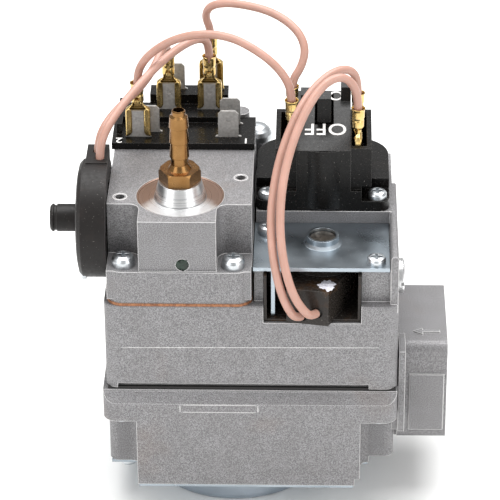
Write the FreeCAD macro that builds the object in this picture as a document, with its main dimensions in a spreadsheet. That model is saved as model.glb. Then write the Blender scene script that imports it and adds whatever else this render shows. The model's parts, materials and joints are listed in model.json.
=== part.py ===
"""Combination gas control valve for a heating burner, as a parametric FreeCAD document.

Frame: millimetres, +Z up, X to the right, Y to the back, seen from the front.  The origin is under
the middle of the valve, on the surface that its round bottom cover stands on.  Gas enters the boss
on the right (+X) and leaves through the boss at the back (+Y).
"""
import FreeCAD, Part
import math
import os
import re
import Sketcher

V = FreeCAD.Vector
doc = FreeCAD.newDocument("gas_valve")

# ---------------------------------------------------------------- driving dimensions (mm, degrees)
DIMENSIONS = {
    # castings
    "body_half": 45.2, "body_left": -44.2, "body_front": -37, "body_back": 33,
    "base_floor": 12.5, "base_flange_low": 35.8, "base_top": 45.4, "flange_front": -40.1,
    "flange_slope": 3.2, "base_block_left": -35, "base_block_right": 34, "base_ear_front": -27,
    "base_ear_back": 22, "base_ear_side": 44.6, "base_ear_low": 14.8, "casting_round": 4,
    "sheet_rubber": 0.8,
    "slot_left": -40.5, "slot_right": 36.4, "slot_height": 1.6, "slot_depth": 1.7,
    "deck_top": 75.4, "rest_round": 3,
    # valve axis and chambers
    "valve_x": -5.5, "valve_y": -3, "chamber_radius": 27, "lower_radius": 24, "seat_low": 25.5,
    "seat_high": 28.5, "seat_bore": 11, "seat_ring": 2, "seat_lip": 0.8, "head_room": 6,
    # gas ports: tapping bore of a three-quarter inch taper thread
    "port_bore": 11.9, "port_depth": 15, "inlet_reach": 60.9, "inlet_y": -7, "inlet_z": 38.3,
    "inlet_front": -25, "inlet_back": 13.4, "inlet_low": 20, "inlet_high": 54.9, "inlet_gap": 0.4,
    "outlet_reach": 40.1, "outlet_x": 0, "outlet_z": 29, "outlet_half": 16.2, "passage_radius": 7,
    "duct_half": 8, "duct_low": 17, "duct_high": 24,
    # bottom plate and round cover
    "plate_gauge": 1, "cover_radius": 28.5, "cover_wall": 1.2, "cover_corner": 2.5, "cover_seal": 1,
    # main valve parts
    "stem_radius": 2, "disc_radius": 14, "disc_gauge": 1.5, "pad_gauge": 1.4, "plate_radius": 19,
    "clamp_gauge": 1.5, "roll_depth": 3.4, "main_coil_radius": 8,
    "main_wire": 0.9, "main_turns": 5,
    # servo block, on the left
    "servo_left": -43, "servo_right": 0.8, "servo_front": -36, "servo_gasket": 0.8,
    "servo_flange": 10.8, "servo_top": 103.9, "pocket_left": -33.2, "pocket_right": -9.8,
    "pocket_back": -25, "pocket_round": 3.2, "regulator_x": -21.1, "regulator_y": -19.3,
    "turned_radius": 13.3, "turned_depth": 0.4, "regulator_bore": 9.5, "regulator_floor": 80,
    "servo_seat": 76.9, "servo_seat_bore": 2, "mark_radius": 2, "mark_z": 89.2, "tap_radius": 1.5,
    "tap_depth": 6, "post_x": -4.4, "post_y": 31, "post_radius": 3, "post_top": 106.9,
    "ear_x": 0.6, "ear_y": 34.9, "ear_radius": 3.2, "ear_top": 95.5, "ear_pocket": 5.2,
    # regulator cap, nipple and inner parts
    "cap_foot": 7.9, "cap_neck": 6.5, "cap_rise": 5.6, "cap_thread": 6, "hex_flats": 11.1,
    "hex_height": 4.2, "barb_radius": 3, "barb_neck": 2.65, "barb_tip": 2.05, "barb_bore": 1.65,
    "barb_step": 4.9, "barb_lead": 3.9, "poppet_radius": 3, "spring_cup": 7.4,
    "regulator_coil": 5.4, "regulator_wire": 0.8, "regulator_turns": 5,
    # side solenoid, axis along X
    "side_y": -15, "side_z": 93.5, "side_radius": 18.1, "side_reach": -52.4, "side_foot": -43.2,
    "side_notch": 3.7, "side_notch_floor": -50, "side_screw_circle": 15.9, "stub_radius": 4.25,
    "stub_reach": -61.1, "tube_inner": 3.4, "side_recess": 7.8, "side_recess_deep": -33,
    "bobbin_radius": 11.6, "armature_radius": 3.35, "armature_length": 14,
    # terminal block
    "block_left": -43.8, "block_right": 0.6, "block_front": 10, "block_step": 24, "block_rear": 33,
    "block_back": 39.6, "block_slab": 2.2, "block_second": 4.2, "block_third": 7.6,
    "block_rear_left": -33, "block_rear_right": -8.2, "block_second_right": -7.6,
    "tab_width": 6.35, "tab_gauge": 0.8, "tab_height": 9, "tab_root": 1.5, "tab_shoulder": 8,
    "peg_radius": 1.5, "peg_length": 4,
    # push-on connectors and the radius of the leads' insulation
    "shoe_width": 7.7, "shoe_depth": 2.7, "shoe_height": 10, "shoe_gauge": 0.4, "neck_height": 2.6,
    "crimp_height": 6, "crimp_radius": 2.1, "lead_radius": 1.3,
    # switch, its lever and the shut-off rotor under it
    "switch_left": 1.4, "switch_right": 42.4, "switch_front": -6.5, "switch_back": 29.2,
    "switch_deck": 91.6, "switch_base": 6.9, "switch_ear": 3.4, "switch_ear_width": 8.6,
    "switch_ear_depth": 8.7, "switch_corner": 11, "key_left": 13.8, "key_right": 30.4,
    "key_height": 20.9, "key_depth": 26.5, "key_slope": 0.268, "tower_outer": 6.4, "tower_front": 1.5,
    "tower_depth": 21.5, "tower_wall": 1.5, "tower_climb": 2.5, "bulge_half": 4.9, "bulge_out": 1,
    "guard_width": 3.1, "guard_rise": 4, "lever_width": 4.2, "lever_length": 5, "lever_rise": 8,
    "lever_x": 22.2,
    "lever_front": 5.5, "lever_slot": 5.8, "lever_tongue": 1.5,
    "rotor_x": 15.2, "rotor_y": 11.5, "rotor_radius": 6, "rotor_pin_x": 8.5, "rotor_pin_y": -2.93,
    "rotor_pin": 1.3, "rotor_floor": 80, "switch_room": 5.2, "key_room": 12,
    "foot_left": 107.4, "foot_right": 105, "socket_floor": 103.6,
    # bracket and main coil
    "bracket_left": 1.1, "bracket_right": 42.3, "bracket_front": -34.4, "bracket_back": -6.7,
    "bracket_low": 86.3, "bracket_gauge": 1.2, "collar_x": 22, "collar_y": -18.4,
    "collar_bore": 4.1, "collar_wall": 0.8, "collar_rise": 2.6, "leg_left": 6.5, "leg_back": -17,
    "leg_low": 70.8, "cavity_left": 4.2, "cavity_right": 33.8, "cavity_floor": 69.7,
    "cavity_back": -6.9, "pillar_front": -33.4, "wall_left": 42.6, "wall_front": -35,
    "wall_back": 12.5, "head_height": 11.8, "head_corner_x": 23.8, "head_corner_y": -38.9,
    "coil_radius": 11,
    "flange_gauge": 0.9, "cheek_gauge": 0.8, "entry_radius": 1.9,
    "coil_top": 85.6, "guide_radius": 3.9, "plunger_radius": 3.15, "plunger_travel": 1.8,
    "pilot_seat": 62, "pilot_bore": 1.6,
    # fasteners
    "pan_head": 3.45, "pan_height": 3.4, "pan_shank": 2.1, "pan_length": 12,
    "small_head": 2.9, "small_height": 2.2, "small_shank": 1.6, "small_length": 7, "side_length": 12,
    "dome_head": 5.2, "dome_height": 4.8, "drive_width": 0.8, "drive_length": 3.6,
    # side plug and running clearances
    "plug_y": -15, "plug_z": 73.8, "plug_radius": 5.5, "plug_out": 2, "plug_thread": 4,
    "slack": 0.3, "running": 0.05,
}

sizes = doc.addObject("Spreadsheet::Sheet", "sizes")
for row, (alias, value) in enumerate(DIMENSIONS.items(), start=1):
    sizes.set(f"A{row}", alias)
    sizes.set(f"B{row}", str(value))
    sizes.setAlias(f"B{row}", alias)
doc.recompute()


# ---------------------------------------------------------------- helpers
def linked(text):
    """Return an expression with each alias of the sheet written as sizes.alias."""
    return re.sub(r"[A-Za-z_]\w*",
                  lambda word: "sizes." + word.group(0) if word.group(0) in DIMENSIONS
                  else word.group(0), str(text))


def number(text):
    """Return what an expression of sheet aliases comes to."""
    found = sizes.evalExpression(linked(text))
    return float(getattr(found, "Value", found))


def bind(thing, **values):
    for name, text in values.items():
        thing.setExpression(name, linked(text))
    return thing


def place(thing, x="0", y="0", z="0", turn=None):
    """Put an object at expressions x, y, z; turn is an optional (axis, degrees)."""
    if turn:
        thing.Placement = FreeCAD.Placement(V(0, 0, 0), FreeCAD.Rotation(V(*turn[0]), turn[1]))
    for axis, text in zip("xyz", (x, y, z)):
        thing.setExpression(f"Placement.Base.{axis}", linked(text))
    return thing


def box(name, x, y, z):
    """A block between (low, high) pairs of expressions."""
    block = doc.addObject("Part::Box", name)
    bind(block, Length=f"({x[1]}) - ({x[0]})", Width=f"({y[1]}) - ({y[0]})",
         Height=f"({z[1]}) - ({z[0]})")
    return place(block, x[0], y[0], z[0])


ALONG = {"z": None, "x": ((0, 1, 0), 90), "y": ((1, 0, 0), -90)}


def rod(name, along, start, length, radius):
    """A cylinder from the point start, along +x, +y or +z."""
    bar = doc.addObject("Part::Cylinder", name)
    bind(bar, Radius=radius, Height=length)
    return place(bar, *start, turn=ALONG[along])


def cone(name, along, start, length, first, last):
    taper = doc.addObject("Part::Cone", name)
    bind(taper, Radius1=first, Radius2=last, Height=length)
    return place(taper, *start, turn=ALONG[along])


def fuse(name, *shapes):
    whole = doc.addObject("Part::MultiFuse", name)
    whole.Shapes = list(shapes)
    whole.Refine = True
    return whole


def cut(name, base, *tools):
    rest = doc.addObject("Part::Cut", name)
    rest.Base = base
    rest.Tool = tools[0] if len(tools) == 1 else fuse(name + "_tools", *tools)
    rest.Refine = True
    return rest


def common(name, *shapes):
    shared = doc.addObject("Part::MultiCommon", name)
    shared.Shapes = list(shapes)
    return shared


def rounded(name, base, radius, chosen):
    """Round the edges of base for which chosen(middle point, direction, edge) holds."""
    doc.recompute()
    edges = []
    for index, edge in enumerate(base.Shape.Edges, start=1):
        first, last = edge.firstVertex().Point, edge.lastVertex().Point
        middle = edge.valueAt((edge.FirstParameter + edge.LastParameter) / 2)
        if chosen(middle, last - first, edge):
            edges.append((index, number(radius), number(radius)))
    soft = doc.addObject("Part::Fillet", name)
    soft.Base = base
    soft.Edges = edges
    return soft


def upright(direction):
    return abs(direction.x) + abs(direction.y) < 1e-6 and abs(direction.z) > 1e-6


def sketch_in(body, plane, points):
    """A closed outline whose every corner is held at expressions of the sheet."""
    drawing = body.newObject("Sketcher::SketchObject", body.Name + "_outline")
    base = [f for f in body.Origin.OriginFeatures if f.Role == plane][0]
    drawing.AttachmentSupport = [(base, "")]
    drawing.MapMode = "FlatFace"
    spots = [(number(a), number(b)) for a, b in points]
    count = len(spots)
    for i, (a, b) in enumerate(spots):
        c, d = spots[(i + 1) % count]
        drawing.addGeometry(Part.LineSegment(V(a, b, 0), V(c, d, 0)))
    for i in range(count):
        drawing.addConstraint(Sketcher.Constraint("Coincident", i, 2, (i + 1) % count, 1))
    for i, texts in enumerate(points):
        for kind, text, spot, axis in zip(("DistanceX", "DistanceY"), texts, spots[i], (-2, -1)):
            if abs(spot) < 1e-9:
                drawing.addConstraint(Sketcher.Constraint("PointOnObject", i, 1, axis))
                continue
            held = drawing.addConstraint(Sketcher.Constraint(kind, -1, 1, i, 1, spot))
            drawing.setExpression(f"Constraints[{held}]", linked(text))
    return drawing


def turned(name, points, at=("0", "0", "0"), along="z"):
    """A turned piece: the outline (radius, height) spun about its own axis, at a point."""
    body = doc.addObject("PartDesign::Body", name)
    outline = sketch_in(body, "XZ_Plane", points)
    spin = body.newObject("PartDesign::Revolution", name + "_spin")
    spin.Profile = outline
    spin.ReferenceAxis = (outline, ["V_Axis"])
    spin.Angle = 360
    return place(body, *at, turn=ALONG[along])


def padded(name, plane, points, length, at=("0", "0", "0"), reverse=False, turn=None):
    """An outline drawn on an origin plane and padded by length."""
    body = doc.addObject("PartDesign::Body", name)
    outline = sketch_in(body, plane, points)
    pad = body.newObject("PartDesign::Pad", name + "_pad")
    pad.Profile = outline
    pad.Reversed = reverse
    bind(pad, Length=length)
    return place(body, *at, turn=turn)


def group(name, shapes):
    """Several separate solids that share one node, such as a set of screws."""
    thing = doc.addObject("Part::Feature", name)
    thing.Shape = Part.makeCompound(shapes)
    return thing


def copies(name, master, places):
    """Copies of a master piece at (point, axis that its +Z turns to)."""
    doc.recompute()
    shapes = []
    for point, axis in places:
        spot = FreeCAD.Placement(V(*[number(text) for text in point]),
                                 FreeCAD.Rotation(V(0, 0, 1), V(*axis)))
        copy = master.Shape.copy()
        copy.Placement = spot.multiply(copy.Placement)
        shapes.append(copy)
    return group(name, shapes)


WIRE_FLATS = 12


def coil_spring(name, centre, low, high, radius, wire, turns, along="z"):
    """A helical spring between the heights low and high; its wire's twelve flats hold a circle's area."""
    thickness = number(wire)
    length = number(high) - number(low) - thickness
    helix = Part.makeHelix(length / number(turns), length, number(radius))
    reach = thickness / 2 * math.sqrt(2 * math.pi / (WIRE_FLATS * math.sin(2 * math.pi / WIRE_FLATS)))
    angles = [2 * math.pi * (flat + 0.5) / WIRE_FLATS for flat in range(WIRE_FLATS)]
    corners = [V(number(radius) + reach * math.cos(angle), 0, reach * math.sin(angle)) for angle in angles]
    section = Part.makePolygon(corners + corners[:1])
    spring = doc.addObject("Part::Feature", name)
    spring.Shape = Part.Wire(helix.Edges).makePipeShell([section], True, True)
    turn = FreeCAD.Rotation(*((V(*ALONG[along][0]), ALONG[along][1]) if ALONG[along]
                              else (V(0, 0, 1), 0)))
    start = V(0, 0, number(low) + thickness / 2)
    if along == "x":
        start = V(number(low) + thickness / 2, 0, 0)
    spring.Placement = FreeCAD.Placement(V(*[number(text) for text in centre]) + start, turn)
    return spring


def screw(name, head, height, shank, length, crown=0.55):
    """A pan-head screw with a cross drive: its head stands on Z = 0 and its shank hangs down."""
    blank = turned(name + "_blank", [
        ("0", f"-({length})"), (f"{shank} * 0.8", f"-({length})"), (shank, f"{shank} * 0.4 - ({length})"),
        (shank, "0"), (head, "0"), (head, f"({height}) * {crown}"),
        (f"({head}) * 0.86", f"({height}) * 0.86"), (f"({head}) * 0.55", height), ("0", height)])
    arms = [box(f"{name}_arm_{i}", (f"-({a})", a), (f"-({b})", b), (f"({height}) * 0.5", f"({height}) + 1"))
            for i, (a, b) in enumerate((("drive_length / 2", "drive_width / 2"),
                                        ("drive_width / 2", "drive_length / 2")))]
    return cut(name, blank, *arms)


# ---------------------------------------------------------------- base casting: ports and main seat
def base_casting():
    flange = box("base_flange", ("-body_half", "body_half"), ("flange_front", "body_back"),
                 ("base_flange_low", "base_top"))
    block = box("base_block", ("-base_ear_side", "base_ear_side"), ("flange_front", "body_back"),
                ("base_floor", "base_flange_low"))
    pocket_left = box("base_pocket_left", ("-body_half - 1", "base_block_left"),
                      ("flange_front - 1", "base_ear_front"), ("base_floor - 1", "base_flange_low"))
    pocket_right = box("base_pocket_right", ("base_block_right", "body_half + 1"),
                       ("flange_front - 1", "base_ear_front"), ("base_floor - 1", "base_flange_low"))
    rear_left = box("base_rear_left", ("-body_half - 1", "base_block_left"),
                    ("base_ear_back", "body_back + 1"), ("base_floor - 1", "base_flange_low"))
    rear_right = box("base_rear_right", ("base_block_right", "body_half + 1"),
                     ("base_ear_back", "body_back + 1"), ("base_floor - 1", "base_flange_low"))
    ear_cut = box("base_ear_cut", ("base_block_right + 3", "body_half + 1"),
                  ("flange_front - 1", "body_back - 8"), ("base_floor - 1", "base_ear_low"))
    notch = box("base_notch", ("base_block_right - 1.6", "base_block_right + 4"),
                ("flange_front - 1", "base_ear_front - 6"), ("base_floor - 1", "base_floor + 2.4"))
    slope = padded("base_slope", "YZ_Plane", [
        ("flange_front - 1", "base_top + 1"), ("body_front + 0.4", "base_top + 1"),
        ("body_front", "base_top - 0.6"), ("flange_front", "base_top - flange_slope"),
        ("flange_front - 1", "base_top - flange_slope")], "body_half * 2 + 2",
        at=("-body_half - 1", "0", "0"))
    flange = rounded("base_flange_soft", flange, "casting_round",
                     lambda middle, direction, edge: upright(direction))
    block = cut("base_block_cut", block, pocket_left, pocket_right, rear_left, rear_right)
    front, back = number("flange_front"), number("body_back")

    def pocket_corner(middle, direction, edge):
        return upright(direction) and front + 5 < middle.y < back - 5
    block = rounded("base_block_soft", block, "casting_round * 0.75", pocket_corner)
    soft = cut("base_shaped", fuse("base_rough", flange, block), ear_cut, notch, slope)
    boss = box("inlet_boss", ("body_half + inlet_gap", "inlet_reach"), ("inlet_front", "inlet_back"),
               ("inlet_low", "inlet_high"))
    top, low = number("inlet_high"), number("inlet_low")

    def boss_edge(middle, direction, edge):
        level = abs(direction.y) + abs(direction.z) < 1e-6
        return level and (abs(middle.z - top) < 0.1 or abs(middle.z - low) < 0.1)
    boss = rounded("inlet_boss_soft", boss, "rest_round", boss_edge)
    root = box("inlet_root", ("base_ear_side - 6", "body_half + inlet_gap + 1"),
               ("inlet_front + 1", "inlet_back - 1"), ("inlet_low + 1", "base_top - 0.6"))
    web = box("inlet_web", ("body_half + inlet_gap", "body_half + 2.4"),
              ("body_front + 3", "inlet_front + 2"), ("inlet_low + 9", "inlet_high + 3"))
    web_root = box("web_root", ("body_half - 1.6", "body_half + 2.4"),
                   ("body_front + 4", "inlet_front + 2"), ("inlet_low + 9", "base_top - 0.6"))
    step = box("inlet_step", ("body_half + 4", "inlet_reach - 1"), ("inlet_front - 0.5", "inlet_front + 1"),
               ("inlet_low + 4", "inlet_z + 6"))
    arrow = padded("inlet_arrow", "XY_Plane", [
        ("body_half + 5", "-17.5"), ("body_half + 8", "-19.3"), ("body_half + 8", "-18"),
        ("body_half + 13.4", "-18"), ("body_half + 13.4", "-17"), ("body_half + 8", "-17"),
        ("body_half + 8", "-15.7")], "0.9", at=("0", "0", "inlet_high - 0.4"))
    rear = box("outlet_boss", ("outlet_x - outlet_half", "outlet_x + outlet_half"),
               ("body_back - 2", "outlet_reach"), ("base_floor + 0.4", "base_top - 0.3"))
    rear = rounded("outlet_boss_soft", rear, "rest_round",
                   lambda middle, direction, edge: abs(direction.x) + abs(direction.z) < 1e-6)
    solid = fuse("base_solid", soft, boss, root, web, web_root, step, arrow, rear)
    axis = ("valve_x", "valve_y")
    upper = rod("upper_chamber", "z", (*axis, "seat_high"), "base_top - seat_high + 1", "chamber_radius")
    lower = rod("lower_chamber", "z", (*axis, "base_floor - 1"), "seat_low - base_floor + 1",
                "lower_radius")
    seat_hole = rod("seat_hole", "z", (*axis, "seat_low - 2"), "seat_high - seat_low + 4", "seat_bore")
    seat_ring = cut("seat_ring",
                    rod("seat_ring_rim", "z", (*axis, "seat_low - seat_lip"), "seat_lip + 0.5",
                        "seat_bore + seat_ring"),
                    rod("seat_ring_bore", "z", (*axis, "seat_low - 3"), "6", "seat_bore"))
    inlet = rod("inlet_bore", "x", ("inlet_reach - port_depth", "inlet_y", "inlet_z"),
                "port_depth + 1", "port_bore")
    riser = box("inlet_riser", ("inlet_reach - port_depth - 7", "inlet_reach - port_depth + 1"),
                ("inlet_y - duct_half", "inlet_y + duct_half"), ("duct_low", "inlet_z + 4"))
    duct = box("inlet_duct", ("valve_x + lower_radius - 6", "inlet_reach - port_depth"),
               ("inlet_y - duct_half", "inlet_y + duct_half"), ("duct_low", "duct_high"))
    outlet = rod("outlet_bore", "y", ("outlet_x", "outlet_reach - port_depth", "outlet_z"),
                 "port_depth + 1", "port_bore")
    link = rod("outlet_link", "y", ("outlet_x", "valve_y + chamber_radius - 9", "outlet_z + 7"),
               "outlet_reach - port_depth - valve_y - chamber_radius + 10", "passage_radius")
    bored = cut("base_bored", solid, upper, lower, seat_hole, inlet, riser, duct, outlet, link)
    taps = [rod(f"base_tap_{i}", "z", (x, y, "base_flange_low - 1"), "base_top - base_flange_low + 2",
                "pan_shank + slack") for i, (x, y) in enumerate(FLANGE_SCREWS)]
    taps += [rod(f"plate_tap_{i}", "z", (x, y, "base_floor - 1"), "small_length + 1", "small_shank")
             for i, (x, y) in enumerate(PLATE_SCREWS)]
    return cut("valve_body", fuse("base_seated", bored, seat_ring), *taps)


FLANGE_SCREWS = [("-39.8", "body_front + 4"), ("39.6", "body_front + 4"),
                 ("-39.8", "body_back - 5"), ("39.6", "body_back - 5")]
PLATE_SCREWS = [("-39", "base_ear_front + 4"), ("18.6", "body_front + 2"), ("-38", "14"),
                ("30", "body_back - 11")]


# ---------------------------------------------------------------- upper casting: coil cavity, decks
def upper_casting():
    low = "base_top + sheet_rubber"
    block = box("upper_block", ("body_left", "body_half"), ("body_front", "body_back"),
                (low, "deck_top"))
    half, left, front, back = (number(text) for text in
                               ("body_half", "body_left", "body_front", "body_back"))
    block = rounded("upper_block_soft", block, "casting_round",
                    lambda middle, direction, edge: upright(direction))
    top = number("deck_top")
    block = rounded("upper_block_worn", block, "0.5",
                    lambda middle, direction, edge: abs(middle.z - top) < 0.01)
    riser = box("switch_riser", ("switch_left + 0.1", "wall_left + 1"),
                ("bracket_back + 0.1", "body_back - 1.4"),
                ("deck_top - 1", "switch_deck"))
    pillar = box("pillar_right", ("cavity_right - 1", "wall_left + 1"),
                 ("pillar_front", "bracket_back + 1"),
                 ("deck_top - 1", "bracket_low"))
    thin = box("pillar_left", ("switch_left + 0.1", "cavity_left + 1"),
               ("pillar_front", "bracket_back + 1"),
               ("deck_top - 1", "bracket_low"))
    boss = box("bracket_boss", ("switch_left + 0.1", "8.6"), ("bracket_back - 9.6", "bracket_back + 1"),
               ("deck_top - 1", "bracket_low"))
    wall = box("side_wall", ("wall_left", "body_half - 0.3"), ("wall_front", "wall_back"),
               ("deck_top - 3", "switch_deck"))
    wall = rounded("side_wall_soft", wall, "1",
                   lambda middle, direction, edge: not upright(direction) and middle.z > top)
    solid = fuse("upper_solid", block, riser, pillar, thin, boss, wall)
    cavity = box("cavity", ("cavity_left", "cavity_right"), ("body_front - 1", "cavity_back"),
                 ("cavity_floor", "bracket_low + 1"))
    keep = box("cavity_keep", ("cavity_left - 1", "8.6"), ("bracket_back - 9.6", "bracket_back + 1"),
               ("cavity_floor - 1", "bracket_low"))
    cavity = cut("cavity_clear", cavity, keep)
    slot = box("joint_slot", ("slot_left", "slot_right"), ("body_front - 1", "body_front + slot_depth"),
               (low + " - 1", low + " + slot_height"))
    head = rod("diaphragm_room", "z", ("valve_x", "valve_y", low + " - 1"), "head_room + 1",
               "chamber_radius")
    pilot = rod("pilot_way", "z", ("collar_x", "collar_y", "pilot_seat - 6"),
                "cavity_floor - pilot_seat + 7",
                "pilot_bore")
    room = rod("pilot_room", "z", ("collar_x", "collar_y", "pilot_seat"), "cavity_floor - pilot_seat + 1",
               "guide_radius + 0.6")
    rotor = rod("rotor_room", "z", ("rotor_x", "rotor_y", "rotor_floor"), "switch_deck - rotor_floor + 1",
                "rotor_radius + running")
    plug = rod("plug_tap", "x", ("body_half - plug_thread", "plug_y", "plug_z"), "plug_thread + 1",
               "plug_radius - 1.5")
    taps = [rod(f"upper_tap_{i}", "z", (x, y, low + " - 1"), "pan_length - 7", "pan_shank")
            for i, (x, y) in enumerate(FLANGE_SCREWS)]
    taps += [rod(f"servo_tap_{i}", "z", (x, y, "deck_top - 6"), "7", "pan_shank")
             for i, (x, y) in enumerate(SERVO_SCREWS)]
    taps += [rod(f"bracket_tap_{i}", "z", (x, y, "bracket_low - small_length"), "small_length + 1",
                 "small_shank") for i, (x, y) in enumerate(BRACKET_SCREWS)]
    taps += [rod(f"switch_tap_{i}", "z", (x, y, "switch_deck - small_length"), "small_length + 1",
                 "small_shank") for i, (x, y) in enumerate(SWITCH_SCREWS)]
    return cut("upper_body", solid, cavity, slot, head, pilot, room, rotor, plug, *taps)


SERVO_SCREWS = [("-38", "body_front + 5.2"), ("-4.8", "body_front + 4.6"),
                ("-38", "body_back - 6"), ("-11", "body_back - 7")]
BRACKET_SCREWS = [("5", "-12.2"), ("38.2", "-30.6")]
SWITCH_SCREWS = [("4.9", "-3.2"), ("38.7", "-3.2")]


# ---------------------------------------------------------------- servo block on the left
def servo_casting():
    low = "deck_top + servo_gasket"
    flange = box("servo_flange", ("servo_left", "servo_right"), ("body_front + 0.2", "body_back - 0.4"),
                 (low, f"{low} + servo_flange"))
    flange = rounded("servo_flange_soft", flange, "casting_round * 1.2",
                     lambda middle, direction, edge: upright(direction))
    tower = box("servo_tower", ("servo_left", "servo_right - 0.2"), ("servo_front", "body_back - 0.4"),
                (f"{low} + 1", "servo_top"))
    left_pocket = box("servo_pocket_left", ("servo_left - 6", "pocket_left"),
                      ("servo_front - 6", "pocket_back"), (f"{low} + servo_flange", "servo_top + 1"))
    right_pocket = box("servo_pocket_right", ("pocket_right", "servo_right + 6"),
                       ("servo_front - 6", "pocket_back"), (f"{low} + servo_flange", "servo_top + 1"))

    def pocket_corner(middle, direction, edge):
        return upright(direction) and middle.y > number("servo_front") + 2 and (
            number("servo_left") - 1 < middle.x < number("servo_right") + 1)
    left_pocket = rounded("servo_pocket_left_soft", left_pocket, "pocket_round", pocket_corner)
    right_pocket = rounded("servo_pocket_right_soft", right_pocket, "pocket_round", pocket_corner)
    tower = cut("servo_tower_cut", tower, left_pocket, right_pocket)
    post = rod("servo_post", "z", ("post_x", "post_y", "servo_top - 4"), "post_top - servo_top + 4",
               "post_radius")
    ear = rod("servo_ear", "z", ("ear_x", "ear_y", f"{low} + 1"), f"ear_top - ({low}) - 1", "ear_radius")
    solid = fuse("servo_solid", flange, tower, post, ear)
    axis = ("regulator_x", "regulator_y")
    turned_ring = rod("turned_ring", "z", (*axis, "servo_top - turned_depth"), "turned_depth + 1",
                      "turned_radius")
    bore = rod("regulator_bore", "z", (*axis, "regulator_floor"), "servo_top - regulator_floor - 5",
               "regulator_bore")
    mouth = rod("regulator_mouth", "z", (*axis, "servo_top - 7"), "8", "cap_thread")
    seat = rod("servo_seat_way", "z", (*axis, f"{low} - 1"), f"regulator_floor - ({low}) + 2",
               "servo_seat_bore + 1.6")
    mark = rod("mark_hole", "y", ("-20", "servo_front - 1", "mark_z"), "4", "mark_radius")
    recess = rod("side_recess", "x", ("servo_left - 1", "side_y", "side_z"),
                 "side_recess_deep - servo_left + 1", "side_recess")
    taps = [rod(f"servo_hole_{i}", "z", (x, y, f"{low} - 1"), "servo_flange + 2", "pan_shank + slack")
            for i, (x, y) in enumerate(SERVO_SCREWS)]
    taps += [rod(f"servo_counterbore_{i}", "z", (x, y, f"{low} + servo_flange"), "40", "pan_head + slack")
             for i, (x, y) in enumerate(SERVO_SCREWS[2:])]
    taps.append(rod("ear_pocket", "z", ("ear_x", "ear_y", "ear_top"), "ear_pocket", "dome_head + slack"))
    taps += [rod(f"spare_tap_{i}", "z", (x, y, "servo_top - tap_depth"), "tap_depth + 1", "tap_radius")
             for i, (x, y) in enumerate(SPARE_TAPS)]
    taps += [rod(f"side_tap_{i}", "x", ("servo_left - 1", y, z), "side_length - 5", "small_shank")
             for i, (y, z) in enumerate(SIDE_SCREWS)]
    taps += [rod(f"peg_hole_{i}", "z", (x, y, "servo_top - peg_length - 0.5"), "peg_length + 1",
                 "peg_radius") for i, (x, y) in enumerate(BLOCK_PEGS)]
    taps += [rod("ear_tap", "z", ("ear_x", "ear_y", "ear_top - small_length"), "small_length + 1",
                 "small_shank")]
    return cut("regulator_body", solid, turned_ring, bore, mouth, seat, mark, recess, *taps)


SPARE_TAPS = [("-39.3", "-20.4"), ("-3.1", "-7.9")]
BLOCK_PEGS = [("-40", "14"), ("-3.5", "14"), ("-30", "29")]
SIDE_SCREWS = [("side_y - side_screw_circle * 0.5", "side_z - side_screw_circle * 0.866"),
               ("side_y + side_screw_circle * 0.85", "side_z + side_screw_circle * 0.5")]


def servo_gasket():
    sheet = box("gasket_sheet", ("servo_left - 0.15", "servo_right + 0.1"),
                ("body_front - 0.1", "body_back - 0.2"),
                ("deck_top", "deck_top + servo_gasket"))
    sheet = rounded("gasket_soft", sheet, "casting_round * 1.2",
                    lambda middle, direction, edge: upright(direction))
    holes = [rod(f"gasket_hole_{i}", "z", (x, y, "deck_top - 1"), "servo_gasket + 2", "pan_shank + slack")
             for i, (x, y) in enumerate(SERVO_SCREWS)]
    holes.append(rod("gasket_way", "z", ("regulator_x", "regulator_y", "deck_top - 1"),
                     "servo_gasket + 2", "servo_seat_bore"))
    return cut("servo_gasket", sheet, *holes)


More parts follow.
